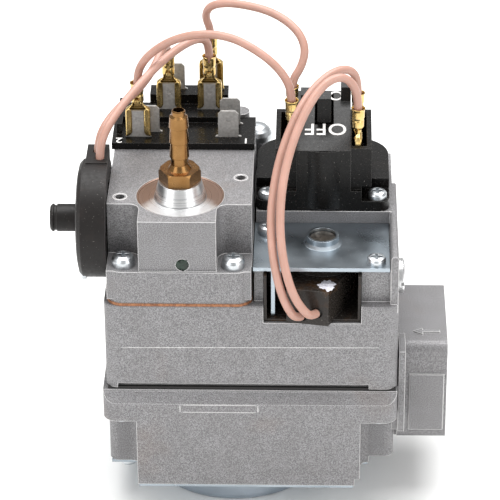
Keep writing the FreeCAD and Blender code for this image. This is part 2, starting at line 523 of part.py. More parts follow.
# ---------------------------------------------------------------- main valve: diaphragm, stem, disc
def main_valve():
    axis = ("valve_x", "valve_y")
    centre = (*axis, "0")
    sheet = box("diaphragm_sheet", ("body_left + 0.6", "body_half - 0.6"),
                ("body_front + 0.6", "body_back - 0.6"),
                ("base_top", "base_top + sheet_rubber"))
    holes = [rod(f"diaphragm_hole_{i}", "z", (x, y, "base_top - 1"), "sheet_rubber + 2",
                 "pan_shank + slack") for i, (x, y) in enumerate(FLANGE_SCREWS)]
    holes.append(rod("diaphragm_hole", "z", (*axis, "base_top - 1"), "sheet_rubber + 2",
                     "chamber_radius - 0.6"))
    inner, outer, low = "plate_radius + 0.8", "chamber_radius - 0.8", "base_top"
    roll = turned("diaphragm_roll", [
        ("stem_radius", low), (inner, low), (f"{inner} + 1", f"{low} - roll_depth"),
        (f"{outer} - 1", f"{low} - roll_depth"), (outer, low), ("chamber_radius + 1", low),
        ("chamber_radius + 1", f"{low} + sheet_rubber"), (f"{outer} - 0.6", f"{low} + sheet_rubber"),
        (f"{outer} - 1.5", f"{low} + sheet_rubber - roll_depth"),
        (f"{inner} + 1.5", f"{low} + sheet_rubber - roll_depth"),
        (f"{inner} + 0.6", f"{low} + sheet_rubber"), ("stem_radius", f"{low} + sheet_rubber")], at=centre)
    diaphragm = fuse("main_diaphragm", cut("diaphragm_frame", sheet, *holes), roll)
    plates = [rod("plate_upper", "z", (*axis, "base_top + sheet_rubber"), "clamp_gauge", "plate_radius"),
              rod("plate_lower", "z", (*axis, "base_top - clamp_gauge"), "clamp_gauge", "plate_radius")]
    bore = rod("plate_bore", "z", (*axis, "base_top - 5"), "12", "stem_radius")
    doc.recompute()
    plates = group("diaphragm_plates", [plate.Shape.cut(bore.Shape) for plate in plates])
    face = "seat_low - seat_lip"
    stem = turned("main_stem", [
        ("0", f"{face} - pad_gauge - disc_gauge - 1.2"),
        ("stem_radius", f"{face} - pad_gauge - disc_gauge - 1.2"),
        ("stem_radius", "base_top + sheet_rubber + clamp_gauge + 2.6"),
        ("0", "base_top + sheet_rubber + clamp_gauge + 2.6")], at=centre)
    nut = turned("stem_nut", [
        ("stem_radius", "base_top + sheet_rubber + clamp_gauge"),
        ("stem_radius * 2", "base_top + sheet_rubber + clamp_gauge"),
        ("stem_radius * 2", "base_top + sheet_rubber + clamp_gauge + 2"),
        ("stem_radius", "base_top + sheet_rubber + clamp_gauge + 2")], at=centre)
    disc = turned("main_valve_disc", [
        ("stem_radius", f"{face} - pad_gauge - disc_gauge"),
        ("disc_radius", f"{face} - pad_gauge - disc_gauge"), ("disc_radius", f"{face} - pad_gauge"),
        ("stem_radius", f"{face} - pad_gauge")], at=centre)
    pad = turned("main_valve_pad", [
        ("stem_radius", f"{face} - pad_gauge"), ("disc_radius - 0.4", f"{face} - pad_gauge"),
        ("disc_radius - 0.4", face), ("stem_radius", face)], at=centre)
    spring = coil_spring("main_spring", centre, "cover_wall", f"{face} - pad_gauge - disc_gauge",
                         "main_coil_radius", "main_wire", "main_turns")
    return [diaphragm, plates, stem, nut, disc, pad, spring]


# ---------------------------------------------------------------- bottom plate and round cover
def bottom_parts():
    under = ("base_floor - plate_gauge", "base_floor")
    middle = box("plate_middle", ("base_block_left + 0.4", "base_block_right - 2"),
                 ("flange_front + 0.3", "body_back - 0.5"), under)
    ears = box("plate_ears", ("0.6 - base_ear_side", "base_block_right + 2.6"),
               ("base_ear_front + 0.4", "base_ear_back - 0.4"), under)
    holes = [rod(f"plate_hole_{i}", "z", (x, y, "base_floor - 3"), "4", "small_shank + slack")
             for i, (x, y) in enumerate(PLATE_SCREWS)]
    holes.append(rod("plate_window", "z", ("valve_x", "valve_y", "base_floor - 3"), "4", "lower_radius"))
    plate = cut("bottom_plate", fuse("plate_blank", middle, ears), *holes)
    centre = ("valve_x", "valve_y", "0")
    rim = "base_floor - plate_gauge"
    seal = turned("cover_gasket", [
        ("lower_radius", f"{rim} - cover_seal"), ("cover_radius - 0.6", f"{rim} - cover_seal"),
        ("cover_radius - 0.6", rim), ("lower_radius", rim)], at=centre)
    r, w, c = "cover_radius", "cover_wall", "cover_corner"
    cover = turned("bottom_cover", [
        ("0", "0"), (f"{r} - {c}", "0"), (f"{r} - {c} * 0.62", f"{c} * 0.076"),
        (f"{r} - {c} * 0.29", f"{c} * 0.29"), (f"{r} - {c} * 0.076", f"{c} * 0.62"), (r, c),
        (r, f"{rim} - cover_seal"), (f"{r} - {c} - 0.4", f"{rim} - cover_seal"),
        (f"{r} - {c} - 0.4", f"{rim} - cover_seal - {w}"), (f"{r} - {w}", f"{rim} - cover_seal - {w}"),
        (f"{r} - {w}", c), (f"{r} - {c}", w), ("0", w)], at=centre)
    return [plate, seal, cover]


# ---------------------------------------------------------------- regulator: cap, nipple, poppet
def hexagon(flats):
    """Corners of a hexagon with two of its flats facing the front and the back."""
    return [(f"({flats}) * {math.cos(math.radians(60 * i)) / math.sqrt(3):.6f}",
             f"({flats}) * {math.sin(math.radians(60 * i)) / math.sqrt(3):.6f}") for i in range(6)]


def regulator():
    axis = ("regulator_x", "regulator_y")
    centre = (*axis, "0")
    foot, top = "servo_top - turned_depth", "servo_top - turned_depth + cap_rise"
    cap = turned("regulator_cap", [
        ("barb_bore", f"{foot} - 6"), ("cap_thread - running", f"{foot} - 6"),
        ("cap_thread - running", foot), ("cap_foot", foot), ("cap_foot", f"{foot} + 0.5"),
        ("cap_neck", top), ("barb_radius + 0.4", top), ("barb_radius + 0.4", f"{top} - 4"),
        ("barb_bore", f"{top} - 4")], at=centre)
    hexagon_body = padded("nipple_hex", "XY_Plane", hexagon("hex_flats"), "hex_height", at=(*axis, top))
    dome = cone("nipple_chamfer", "z", (*axis, top), "hex_height + 0.01", "hex_flats * 0.75",
                "hex_flats * 0.53")
    hexagon_body = common("nipple_hex_soft", hexagon_body, dome)
    base = f"{top} + hex_height"
    outline = [("barb_bore", f"{top} - 4"), ("barb_radius + 0.4", f"{top} - 4"),
               ("barb_radius + 0.4", f"{top} + 0.5"), ("barb_radius + 0.6", f"{top} + 0.5"),
               ("barb_radius + 0.6", base), ("barb_neck + 0.5", f"{base} + 0.7"),
               ("barb_neck", f"{base} + 1.6")]
    for i in range(3):
        foot_of_barb = f"{base} + barb_lead + barb_step * {i}"
        outline += [("barb_neck", foot_of_barb), ("barb_radius", f"{foot_of_barb} + 0.25"),
                    ("barb_neck + 0.1", f"{foot_of_barb} + barb_step - 1.2")]
    tip = f"{base} + barb_lead + barb_step * 3"
    outline += [("barb_tip", f"{tip} - 0.6"), ("barb_tip", f"{tip} + 0.6"),
                ("barb_tip - 0.3", f"{tip} + 0.9"),
                ("barb_bore", f"{tip} + 0.9")]
    stem = turned("nipple_stem", outline, at=centre)
    bored = cut("nipple_hex_bored", hexagon_body,
                rod("nipple_way", "z", (*axis, f"{top} - 1"), "hex_height + 2", "barb_bore"))
    nipple = fuse("hose_barb", stem, bored)
    ring_low, ring_high = "regulator_floor", "regulator_floor + 2"
    lower = turned("regulator_seat_ring", [
        ("spring_cup + 0.4", ring_low), ("regulator_bore - running", ring_low),
        ("regulator_bore - running", ring_high), ("spring_cup + 0.4", ring_high)], at=centre)
    sheet = turned("regulator_diaphragm", [
        ("poppet_radius * 0.5", ring_high), ("regulator_bore - running", ring_high),
        ("regulator_bore - running", f"{ring_high} + 0.6"), ("poppet_radius * 0.5", f"{ring_high} + 0.6")],
        at=centre)
    upper = turned("regulator_clamp_ring", [
        ("spring_cup + 0.4", f"{ring_high} + 0.6"), ("regulator_bore - running", f"{ring_high} + 0.6"),
        ("regulator_bore - running", f"{ring_high} + 2.6"), ("spring_cup + 0.4", f"{ring_high} + 2.6")],
        at=centre)
    seat = turned("regulator_seat", [
        ("servo_seat_bore * 0.5", "deck_top + servo_gasket"),
        ("servo_seat_bore + 1.6", "deck_top + servo_gasket"), ("servo_seat_bore + 1.6", "servo_seat + 1.4"),
        ("servo_seat_bore * 0.5 + 0.5", "servo_seat + 2"), ("servo_seat_bore * 0.5", "servo_seat + 2")],
        at=centre)
    poppet = turned("regulator_poppet", [
        ("0", "servo_seat + 2"), ("poppet_radius", "servo_seat + 2"), ("poppet_radius", "servo_seat + 3"),
        ("poppet_radius * 0.5", "servo_seat + 3.4"), ("poppet_radius * 0.5", f"{ring_high} + 0.6"),
        ("spring_cup", f"{ring_high} + 0.6"), ("spring_cup", f"{ring_high} + 2.4"),
        ("spring_cup - 0.8", f"{ring_high} + 2.4"), ("spring_cup - 0.8", f"{ring_high} + 1.4"),
        ("0", f"{ring_high} + 1.4")], at=centre)
    spring = coil_spring("regulator_spring", centre, f"{ring_high} + 1.4", f"{foot} - 6",
                         "regulator_coil", "regulator_wire", "regulator_turns")
    return [cap, nipple, lower, sheet, upper, seat, poppet, spring]


# ---------------------------------------------------------------- side solenoid, axis along X
def side_solenoid():
    centre = ("0", "side_y", "side_z")
    cover = turned("side_cover_shell", [
        ("stub_radius + running", "side_reach"), ("side_radius - 3.4", "side_reach"),
        ("side_radius - 1.2", "side_reach + 0.5"), ("side_radius", "side_reach + 1.6"),
        ("side_radius", "side_foot"), ("bobbin_radius + slack", "side_foot"),
        ("bobbin_radius + slack", "side_reach + 1.6"), ("stub_radius + running", "side_reach + 1.6")],
        at=centre, along="x")
    lug = box("side_lug", ("side_notch_floor", "side_foot - 0.2"), ("side_y + 1", "side_y + 13"),
              ("side_z + 13", "side_z + side_radius + 0.4"))
    notches = [rod(f"side_notch_{i}", "x", ("side_reach - 1", y, z), "side_notch_floor - side_reach + 1",
                   "side_notch") for i, (y, z) in enumerate(SIDE_SCREWS)]
    holes = [rod(f"side_hole_{i}", "x", ("side_reach - 1", y, z), "side_foot - side_reach + 2",
                 "small_shank + slack") for i, (y, z) in enumerate(SIDE_SCREWS)]
    glands = [rod(f"side_gland_{i}", "z", (x, y, "side_z + 10"), "side_radius - 4", "lead_radius + 0.25")
              for i, (x, y) in enumerate((("side_foot - 2.6", "side_y + 4.2"),
                                          ("side_foot - 3.4", "side_y + 8.6")))]
    cover = cut("solenoid_cover", fuse("side_cover_solid", cover, lug), *notches, *holes, *glands)
    coil = turned("solenoid_coil", [
        ("stub_radius + running", "side_reach + 2"), ("bobbin_radius", "side_reach + 2"),
        ("bobbin_radius", "side_foot - slack"), ("stub_radius + running", "side_foot - slack")],
        at=centre, along="x")
    tube = turned("solenoid_tube", [
        ("0", "stub_reach"), ("stub_radius - 0.6", "stub_reach"), ("stub_radius", "stub_reach + 0.6"),
        ("stub_radius", "stub_reach + 1.1"), ("stub_radius - 0.4", "stub_reach + 1.3"),
        ("stub_radius - 0.4", "stub_reach + 1.9"), ("stub_radius", "stub_reach + 2.1"),
        ("stub_radius", "side_recess_deep"), ("tube_inner", "side_recess_deep"),
        ("tube_inner", "side_reach + 1.4"), ("0", "side_reach + 1.4")], at=centre, along="x")
    end = "side_recess_deep - 2"
    plunger = turned("solenoid_plunger", [
        ("0", end), ("armature_radius", end), ("armature_radius", f"{end} - armature_length"),
        ("armature_radius - 1", f"{end} - armature_length"),
        ("armature_radius - 1", f"{end} - armature_length + 7"), ("0", f"{end} - armature_length + 7")],
        at=centre, along="x")
    pad = turned("solenoid_pad", [
        ("0", end), ("armature_radius - 0.6", end), ("armature_radius - 0.6", "side_recess_deep"),
        ("0", "side_recess_deep")], at=centre, along="x")
    spring = coil_spring("solenoid_spring", centre, "side_reach + 1.4", f"{end} - armature_length + 7",
                         "armature_radius - 1.5", "0.5", "4", along="x")
    return [cover, coil, tube, plunger, pad, spring]


# ---------------------------------------------------------------- terminal block and its tabs
def terminal_block():
    low = "servo_top"
    slab = box("block_slab_front", ("block_left", "block_right"), ("block_front", "block_rear - 5.2"),
               (low, f"{low} + block_slab"))
    second = box("block_slab_second", ("block_left + 1.2", "block_second_right"),
                 ("block_step", "block_rear + 1"),
                 (low, f"{low} + block_second"))
    third = box("block_slab_third", ("block_rear_left", "block_rear_right"), ("block_rear", "block_back"),
                (low, f"{low} + block_third"))
    rib = box("block_rib", ("block_left + 1.2", "block_left + 3"), ("block_front + 6", "block_rear + 1"),
              (low, f"{low} + block_second + 1.6"))
    pegs = [rod(f"block_peg_{i}", "z", (x, y, f"{low} - peg_length"), "peg_length + 1", "peg_radius")
            for i, (x, y) in enumerate(BLOCK_PEGS)]
    solid = fuse("block_solid", slab, second, third, rib, *pegs)
    notches = [box(f"block_notch_{i}", (x, f"{x} + 2.4"), ("block_rear + 2", "block_back + 1"),
                   (f"{low} + block_third - 1.2", f"{low} + block_third + 1"))
               for i, x in enumerate(("block_rear_left + 4", "block_rear_right - 6.4"))]
    roots = [box(f"tab_root_{i}", (f"{x} - tab_shoulder / 2", f"{x} + tab_shoulder / 2"),
                 (y, f"{y} + tab_gauge"), (f"{z} - tab_root", f"{z} + 1"))
             for i, (x, y, z) in enumerate(TABS)]
    return cut("terminal_block", solid, *notches, *roots)


FRONT_ROW, MIDDLE_ROW, BACK_ROW = ("servo_top + block_slab", "servo_top + block_second",
                                   "servo_top + block_third")
TABS = [("-35.7", "14.4", FRONT_ROW), ("-7.6", "14.4", FRONT_ROW), ("-32.4", "17.6", FRONT_ROW),
        ("-26.8", "29.4", MIDDLE_ROW), ("-13.9", "29.4", MIDDLE_ROW), ("-25.2", "36.6", BACK_ROW),
        ("-13.6", "36.6", BACK_ROW), ("-7.3", "23", FRONT_ROW)]


def terminal_tabs():
    """Quarter-inch blades with a wider shoulder, a pointed lead-in and a locking dimple."""
    half, wide = "tab_width / 2", "tab_shoulder / 2"
    blank = padded("tab_blank", "XZ_Plane", [
        (f"-{wide}", "-tab_root"), (wide, "-tab_root"), (wide, "0.2"), (half, "0.5"),
        (half, "tab_height - 1"), (f"{half} - 1", "tab_height"), (f"1 - {half}", "tab_height"),
        (f"-{half}", "tab_height - 1"), (f"-{half}", "0.5"), (f"-{wide}", "0.2")],
        "tab_gauge", at=("0", "tab_gauge", "0"))
    hole = rod("tab_dimple", "y", ("0", "-1", "tab_height - 3"), "1.3", "0.8")
    return copies("terminal_tabs", cut("tab_master", blank, hole), [(spot, (0, 0, 1)) for spot in TABS])


# ---------------------------------------------------------------- push-on connectors and leads
def connector_master():
    """A receptacle that slides on a blade, with a crimped barrel above it; its foot is at Z = 0."""
    shoe = box("shoe_outside", ("-shoe_width / 2", "shoe_width / 2"), ("-shoe_depth / 2", "shoe_depth / 2"),
               ("0.6", "shoe_height"))
    shoe = rounded("shoe_soft", shoe, "shoe_depth * 0.3",
                   lambda middle, direction, edge: upright(direction))
    inside = box("shoe_inside", ("shoe_gauge - shoe_width / 2", "shoe_width / 2 - shoe_gauge"),
                 ("-0.45", "0.45"), ("-1", "shoe_height + 1"))
    gap = box("shoe_gap", ("-1.4", "1.4"), ("-shoe_depth", "-0.4"), ("-1", "shoe_height + 1"))
    shoe = cut("shoe", shoe, inside, gap)
    neck = box("shoe_neck", ("-1.6", "1.6"), ("0.42", "0.42 + shoe_gauge * 2"),
               ("shoe_height - 2", "shoe_height + neck_height + 0.6"))
    barrel = rod("crimp_outside", "z", ("0", "0", "shoe_height + neck_height"), "crimp_height",
                 "crimp_radius")
    bore = rod("crimp_inside", "z", ("0", "0", "shoe_height + neck_height - 1"), "crimp_height + 2",
               "lead_radius + 0.02")
    return cut("connector", fuse("connector_solid", shoe, neck, barrel), bore)


# ---------------------------------------------------------------- switch on the right-hand deck
def key_top(y):
    """Height of the sloping top of the switch at the depth y."""
    return f"(switch_deck + key_height + (({y}) - switch_front) * key_slope)"


SOCKETS = {"left": ("key_left - 1.5", "foot_left"), "right": ("key_right + 2.1", "foot_right")}
SOCKET_Y = {"left": ("0.9", "10.4"), "right": ("0.5", "10.9")}


def switch_housing():
    base = box("switch_base", ("switch_left", "switch_right"), ("switch_front", "switch_back"),
               ("switch_deck", "switch_deck + switch_base"))
    back = number("switch_back")
    base = rounded("switch_base_back", base, "switch_corner",
                   lambda middle, direction, edge: upright(direction) and middle.y > back - 0.1)
    front = number("switch_front")
    base = rounded("switch_base_front", base, "3",
                   lambda middle, direction, edge: upright(direction) and middle.y < front + 0.1)
    ears = [box(f"switch_ear_{i}", (low, high), ("switch_front - 1", "switch_front + switch_ear_depth"),
                ("switch_deck + switch_ear", "switch_deck + switch_base + 1"))
            for i, (low, high) in enumerate((("switch_left - 1", "switch_left + switch_ear_width"),
                                             ("switch_right - switch_ear_width", "switch_right + 1")))]
    low = "switch_deck + 1"
    far = "switch_front + key_depth"
    key = padded("switch_key", "YZ_Plane", [
        ("switch_front", low), (far, low), (far, key_top(far)), ("switch_front", key_top("switch_front"))],
        "key_right - key_left", at=("key_left", "0", "0"))
    tower_y = ("switch_front + tower_front", "switch_front + tower_front + tower_depth")
    tower_top = "switch_deck + key_height"
    towers = [padded(f"switch_tower_{side}", "YZ_Plane", [
        (tower_y[0], low), (tower_y[1], low), (tower_y[1], f"{tower_top} + tower_climb"),
        (tower_y[0], tower_top)], "tower_outer + 1", at=(x, "0", "0"))
        for side, x in (("left", "key_left - tower_outer"), ("right", "key_right - 1"))]
    bulge = common("switch_bulge",
                   rod("bulge_round", "z", ("lever_x", "switch_front - bulge_out + 12.5", low),
                       "key_height - 1", "12.5"),
                   box("bulge_front", ("lever_x - bulge_half", "lever_x + bulge_half"),
                       ("switch_front - 2", "switch_front + 3"), (low, "switch_deck + key_height")))
    guards = [padded(f"switch_guard_{side}", "YZ_Plane", [
        (f"{far} - 5", key_top(f"{far} - 5") + " - 1"), (far, key_top(far) + " - 1"),
        (far, key_top(far) + f" + {rise}"), (f"{far} - 3.6", key_top(f"{far} - 3.6") + f" + {rise}")],
        "guard_width", at=(x, "0", "0"))
        for side, x, rise in (("left", "key_left + 1.1", "guard_rise * 0.3"),
                              ("right", "key_right - guard_width", "guard_rise"))]
    solid = fuse("switch_solid", base, key, bulge, *guards, *towers)
    sockets = [box(f"switch_socket_{side}", (x0, x1),
                   (f"{tower_y[0]} + tower_wall", f"{tower_y[1]} - tower_wall"),
                   ("socket_floor", "switch_deck + 40"))
               for side, x0, x1 in (("left", "key_left - tower_outer + tower_wall", "key_left - 0.1"),
                                    ("right", "key_right + 0.3", "key_right + tower_outer - tower_wall"))]
    room = box("rotor_cover_room", ("rotor_x - rotor_radius - 1", "key_right - 2.5"),
               ("rotor_y - rotor_radius - 1", "rotor_y + rotor_radius + 1.5"),
               ("switch_deck - 1", "switch_deck + switch_room"))
    key_room = box("switch_key_room", ("key_left + 2", "key_right - 2"), ("lever_front - 3", f"{far} - 1"),
                   ("switch_deck - 1", "switch_deck + key_room"))
    slot = box("lever_slot", ("lever_x - lever_slot / 2", "lever_x + lever_slot / 2"),
               ("lever_front - 0.5", f"{far} - 1.4"), ("switch_deck + 5", "switch_deck + 40"))
    holes = [rod(f"switch_hole_{i}", "z", (x, y, "switch_deck - 1"), "switch_base + 4",
                 "small_shank + slack") for i, (x, y) in enumerate(SWITCH_SCREWS)]
    blades = [box(f"blade_slot_{side}_{i}", (f"{x} - tab_gauge / 2", f"{x} + tab_gauge / 2"),
                  (f"{y} - tab_width / 2", f"{y} + tab_width / 2"),
                  ("switch_deck + switch_base", "socket_floor + 1"))
              for side, (x, foot) in SOCKETS.items() for i, y in enumerate(SOCKET_Y[side])]
    return cut("switch_housing", solid, *ears, *sockets, room, key_room, slot, *holes, *blades)


def switch_parts():
    blades = []
    for side, (x, foot) in SOCKETS.items():
        for i, y in enumerate(SOCKET_Y[side]):
            blades.append(box(f"blade_{side}_{i}", (f"{x} - tab_gauge / 2", f"{x} + tab_gauge / 2"),
                              (f"{y} - tab_width / 2", f"{y} + tab_width / 2"),
                              ("switch_deck + switch_base", f"{foot} + tab_height - 1")))
    doc.recompute()
    blades = group("switch_blades", [blade.Shape for blade in blades])
    far = "lever_front + lever_length"
    knob = padded("lever_knob", "YZ_Plane", [
        ("lever_front", key_top("lever_front") + " + 0.3"), (far, key_top(far) + " + 0.3"),
        (f"{far} - 0.8", key_top(f"{far} - 0.8") + " + lever_rise"),
        ("lever_front + 0.5", key_top("lever_front + 0.5") + " + lever_rise")], "lever_width",
        at=("lever_x - lever_width / 2", "0", "0"))
    tongue = box("lever_tongue_body", ("lever_x - lever_tongue", "lever_x + lever_tongue"),
                 ("lever_front + 0.7", f"{far} - 0.7"),
                 ("switch_deck + key_room - 4", key_top(far) + " + 1"))
    pin_y, reach = "rotor_y + rotor_pin_y", "(rotor_pin + slack)"
    fork = box("lever_fork", ("lever_x - lever_tongue - 1.5", "lever_x + lever_tongue + 2.4"),
               (f"{pin_y} - {reach} - 1", f"{pin_y} + {reach} + 1"),
               ("switch_deck + 2.6", "switch_deck + key_room - 3"))
    mouth = box("lever_fork_gap", ("lever_x - 10", "lever_x + 10"),
                (f"{pin_y} - {reach}", f"{pin_y} + {reach}"),
                ("switch_deck", "switch_deck + 8.2"))
    lever = cut("switch_lever", fuse("lever_solid", knob, tongue, fork), mouth)
    bridge = box("contact_bridge", ("lever_x - 5.5", "lever_x + 5.5"),
                 (f"{far} - 0.7", f"{far} - 0.1"),
                 ("switch_deck + key_room - 3", "switch_deck + key_room - 2"))
    centre = ("rotor_x", "rotor_y", "0")
    top = "switch_deck + 0.3"
    body = turned("rotor_barrel", [
        ("0", "rotor_floor + 0.4"), ("rotor_radius", "rotor_floor + 0.4"),
        ("rotor_radius", "rotor_floor + 5"),
        ("rotor_radius - 1.1", "rotor_floor + 5"), ("rotor_radius - 1.1", "rotor_floor + 6.4"),
        ("rotor_radius", "rotor_floor + 6.4"), ("rotor_radius", top), ("0", top)], at=centre)
    port = rod("rotor_port", "y", ("rotor_x", "rotor_y - 10", "rotor_floor + 2.6"), "20", "1.6")
    arm = box("rotor_arm", ("rotor_x - 3", "rotor_x + rotor_pin_x + rotor_pin"),
              (f"{pin_y} - 1.5", f"{pin_y} + 3.4"), (f"{top} - 0.1", "switch_deck + 1.9"))
    pin = rod("rotor_pin_post", "z", ("rotor_x + rotor_pin_x", pin_y, "switch_deck + 1"), "5.4",
              "rotor_pin")
    rotor = cut("manual_rotor", fuse("rotor_solid", body, arm, pin), port)
    seal = turned("rotor_seal", [
        ("rotor_radius - 1.1", "rotor_floor + 5.1"), ("rotor_radius", "rotor_floor + 5.1"),
        ("rotor_radius", "rotor_floor + 6.3"), ("rotor_radius - 1.1", "rotor_floor + 6.3")], at=centre)
    return [blades, lever, bridge, rotor, seal]


# ---------------------------------------------------------------- bracket and main coil in the cavity
def coil_bracket():
    plate = box("bracket_plate", ("bracket_left", "bracket_right"), ("bracket_front", "bracket_back"),
                ("bracket_low", "bracket_low + bracket_gauge"))
    top = "bracket_low + bracket_gauge"
    foot = cone("collar_foot", "z", ("collar_x", "collar_y", f"{top} - 0.05"), "0.9",
                "collar_bore + collar_wall + 1", "collar_bore + collar_wall")
    tube = rod("collar_tube", "z", ("collar_x", "collar_y", f"{top} - 0.5"), "collar_rise + 0.5",
               "collar_bore + collar_wall")
    leg = box("bracket_leg", ("leg_left", "leg_left + bracket_gauge"), ("bracket_front", "leg_back"),
              ("leg_low", f"{top} - 0.2"))
    solid = fuse("bracket_solid", plate, foot, tube, leg)
    bore = rod("collar_hole", "z", ("collar_x", "collar_y", "bracket_low - 1"), "collar_rise + 4",
               "collar_bore")
    holes = [rod(f"bracket_hole_{i}", "z", (x, y, "bracket_low - 1"), "3", "small_shank + slack")
             for i, (x, y) in enumerate(BRACKET_SCREWS)]
    return cut("coil_bracket", solid, bore, *holes)


def main_coil():
    axis = ("collar_x", "collar_y")
    drum = rod("coil_drum", "z", (*axis, "cavity_floor + 0.5"), "coil_top - cavity_floor - 0.5",
               "coil_radius")
    x, y = "head_corner_x", "head_corner_y"
    head = padded("coil_head", "XY_Plane", [
        (x, y), (f"{x} + 7.3", f"{y} + 14.2"), (f"{x} + 3.2", f"{y} + 20"), (f"{x} - 11.3", f"{y} + 20"),
        (f"{x} - 12.6", f"{y} + 2.3")], "head_height", at=("0", "0", "cavity_floor + 0.2"))
    flange = box("coil_flange", ("cavity_left + 0.2", "cavity_right - 0.2"),
                 ("body_front + 1", "leg_back"), ("cavity_floor + 0.1", "cavity_floor + flange_gauge"))
    cheeks = [box(f"coil_cheek_{side}", across, ("body_front + 1", "leg_back"),
                  ("cavity_floor + 0.1", "coil_top - 0.2"))
              for side, across in (("left", ("cavity_left + 0.2", "cavity_left + 0.2 + cheek_gauge")),
                                   ("right", ("cavity_right - 0.2 - cheek_gauge", "cavity_right - 0.2")))]
    bore = rod("coil_bore", "z", (*axis, "cavity_floor - 1"), "20", "guide_radius + slack")
    entries = [rod(f"coil_entry_{i}", "y", (px, "head_corner_y - 1", pz), py, "entry_radius")
               for i, (px, py, pz) in enumerate((("20.2", "2.4", "74.2"), ("15.6", "3.3", "72.6")))]
    coil = cut("main_coil", fuse("coil_solid", drum, head, flange, *cheeks), bore, *entries)
    centre = (*axis, "0")
    pole, top = "coil_top - 6", "bracket_low + bracket_gauge + collar_rise - 1"
    guide = turned("coil_guide", [
        ("0", pole), ("plunger_radius + running", pole), ("plunger_radius + running", "pilot_seat + 0.3"),
        ("guide_radius", "pilot_seat + 0.3"), ("guide_radius", top), ("0", top)], at=centre)
    foot = "pilot_seat + 2"
    plunger = turned("pilot_plunger", [
        ("0", foot), ("plunger_radius", foot), ("plunger_radius", f"{pole} - plunger_travel - 0.2"),
        ("plunger_radius - 0.9", f"{pole} - plunger_travel - 0.2"), ("plunger_radius - 0.9", f"{foot} + 8"),
        ("0", f"{foot} + 8")], at=centre)
    pad = turned("pilot_pad", [("0", "pilot_seat"), ("plunger_radius - 0.5", "pilot_seat"),
                               ("plunger_radius - 0.5", foot), ("0", foot)], at=centre)
    spring = coil_spring("pilot_spring", centre, f"{foot} + 8", pole, "plunger_radius - 1.3", "0.5", "4")
    return [coil, guide, plunger, pad, spring]


# ---------------------------------------------------------------- screws and plug
DOME_CURVE = [(1, 0.12), (0.95, 0.38), (0.82, 0.64), (0.6, 0.85), (0.33, 0.96), (0, 1)]


def fasteners():
    low = "deck_top + servo_gasket"
    up, down, left = (0, 0, 1), (0, 0, -1), (-1, 0, 0)
    pan = screw("pan", "pan_head", "pan_height", "pan_shank", "pan_length")
    small = screw("small", "small_head", "small_height", "small_shank", "small_length - 0.6")
    long = screw("long", "small_head", "small_height", "small_shank", "side_length")
    dome = turned("dome", [("0", "0.6 - small_length"), ("small_shank", "0.6 - small_length"),
                           ("small_shank", "0"), ("dome_head", "0")]
                  + [(f"dome_head * {wide}", f"dome_height * {high}") for wide, high in DOME_CURVE])
    servo = copies("servo_screws", pan, [((x, y, f"{low} + servo_flange"), up) for x, y in SERVO_SCREWS])
    flange = copies("flange_screws", pan, [((x, y, "base_flange_low"), down) for x, y in FLANGE_SCREWS])
    plate = copies("plate_screws", small, [((x, y, "base_floor - plate_gauge"), down)
                                           for x, y in PLATE_SCREWS])
    bracket = copies("bracket_screws", small, [((x, y, "bracket_low + bracket_gauge"), up)
                                               for x, y in BRACKET_SCREWS])
    switch = copies("switch_screws", small, [((x, y, "switch_deck + switch_ear"), up)
                                             for x, y in SWITCH_SCREWS])
    side = copies("solenoid_screws", long, [(("side_notch_floor", y, z), left) for y, z in SIDE_SCREWS])
    cap = copies("domed_screw", dome, [(("ear_x", "ear_y", "ear_top"), up)])
    blank = turned("plug_blank", [
        ("0", "body_half - plug_thread"), ("plug_radius - 1.5", "body_half - plug_thread"),
        ("plug_radius - 1.5", "body_half"), ("plug_radius", "body_half"),
        ("plug_radius", "body_half + plug_out - 0.5"), ("plug_radius - 0.5", "body_half + plug_out"),
        ("0", "body_half + plug_out")], at=("0", "plug_y", "plug_z"), along="x")
    plug = cut("test_plug", blank, box("plug_slot", ("body_half + plug_out - 1", "body_half + 5"),
                                       ("plug_y - 10", "plug_y + 10"), ("plug_z - 0.6", "plug_z + 0.6")))
    return [servo, flange, plate, bracket, switch, side, cap, plug]


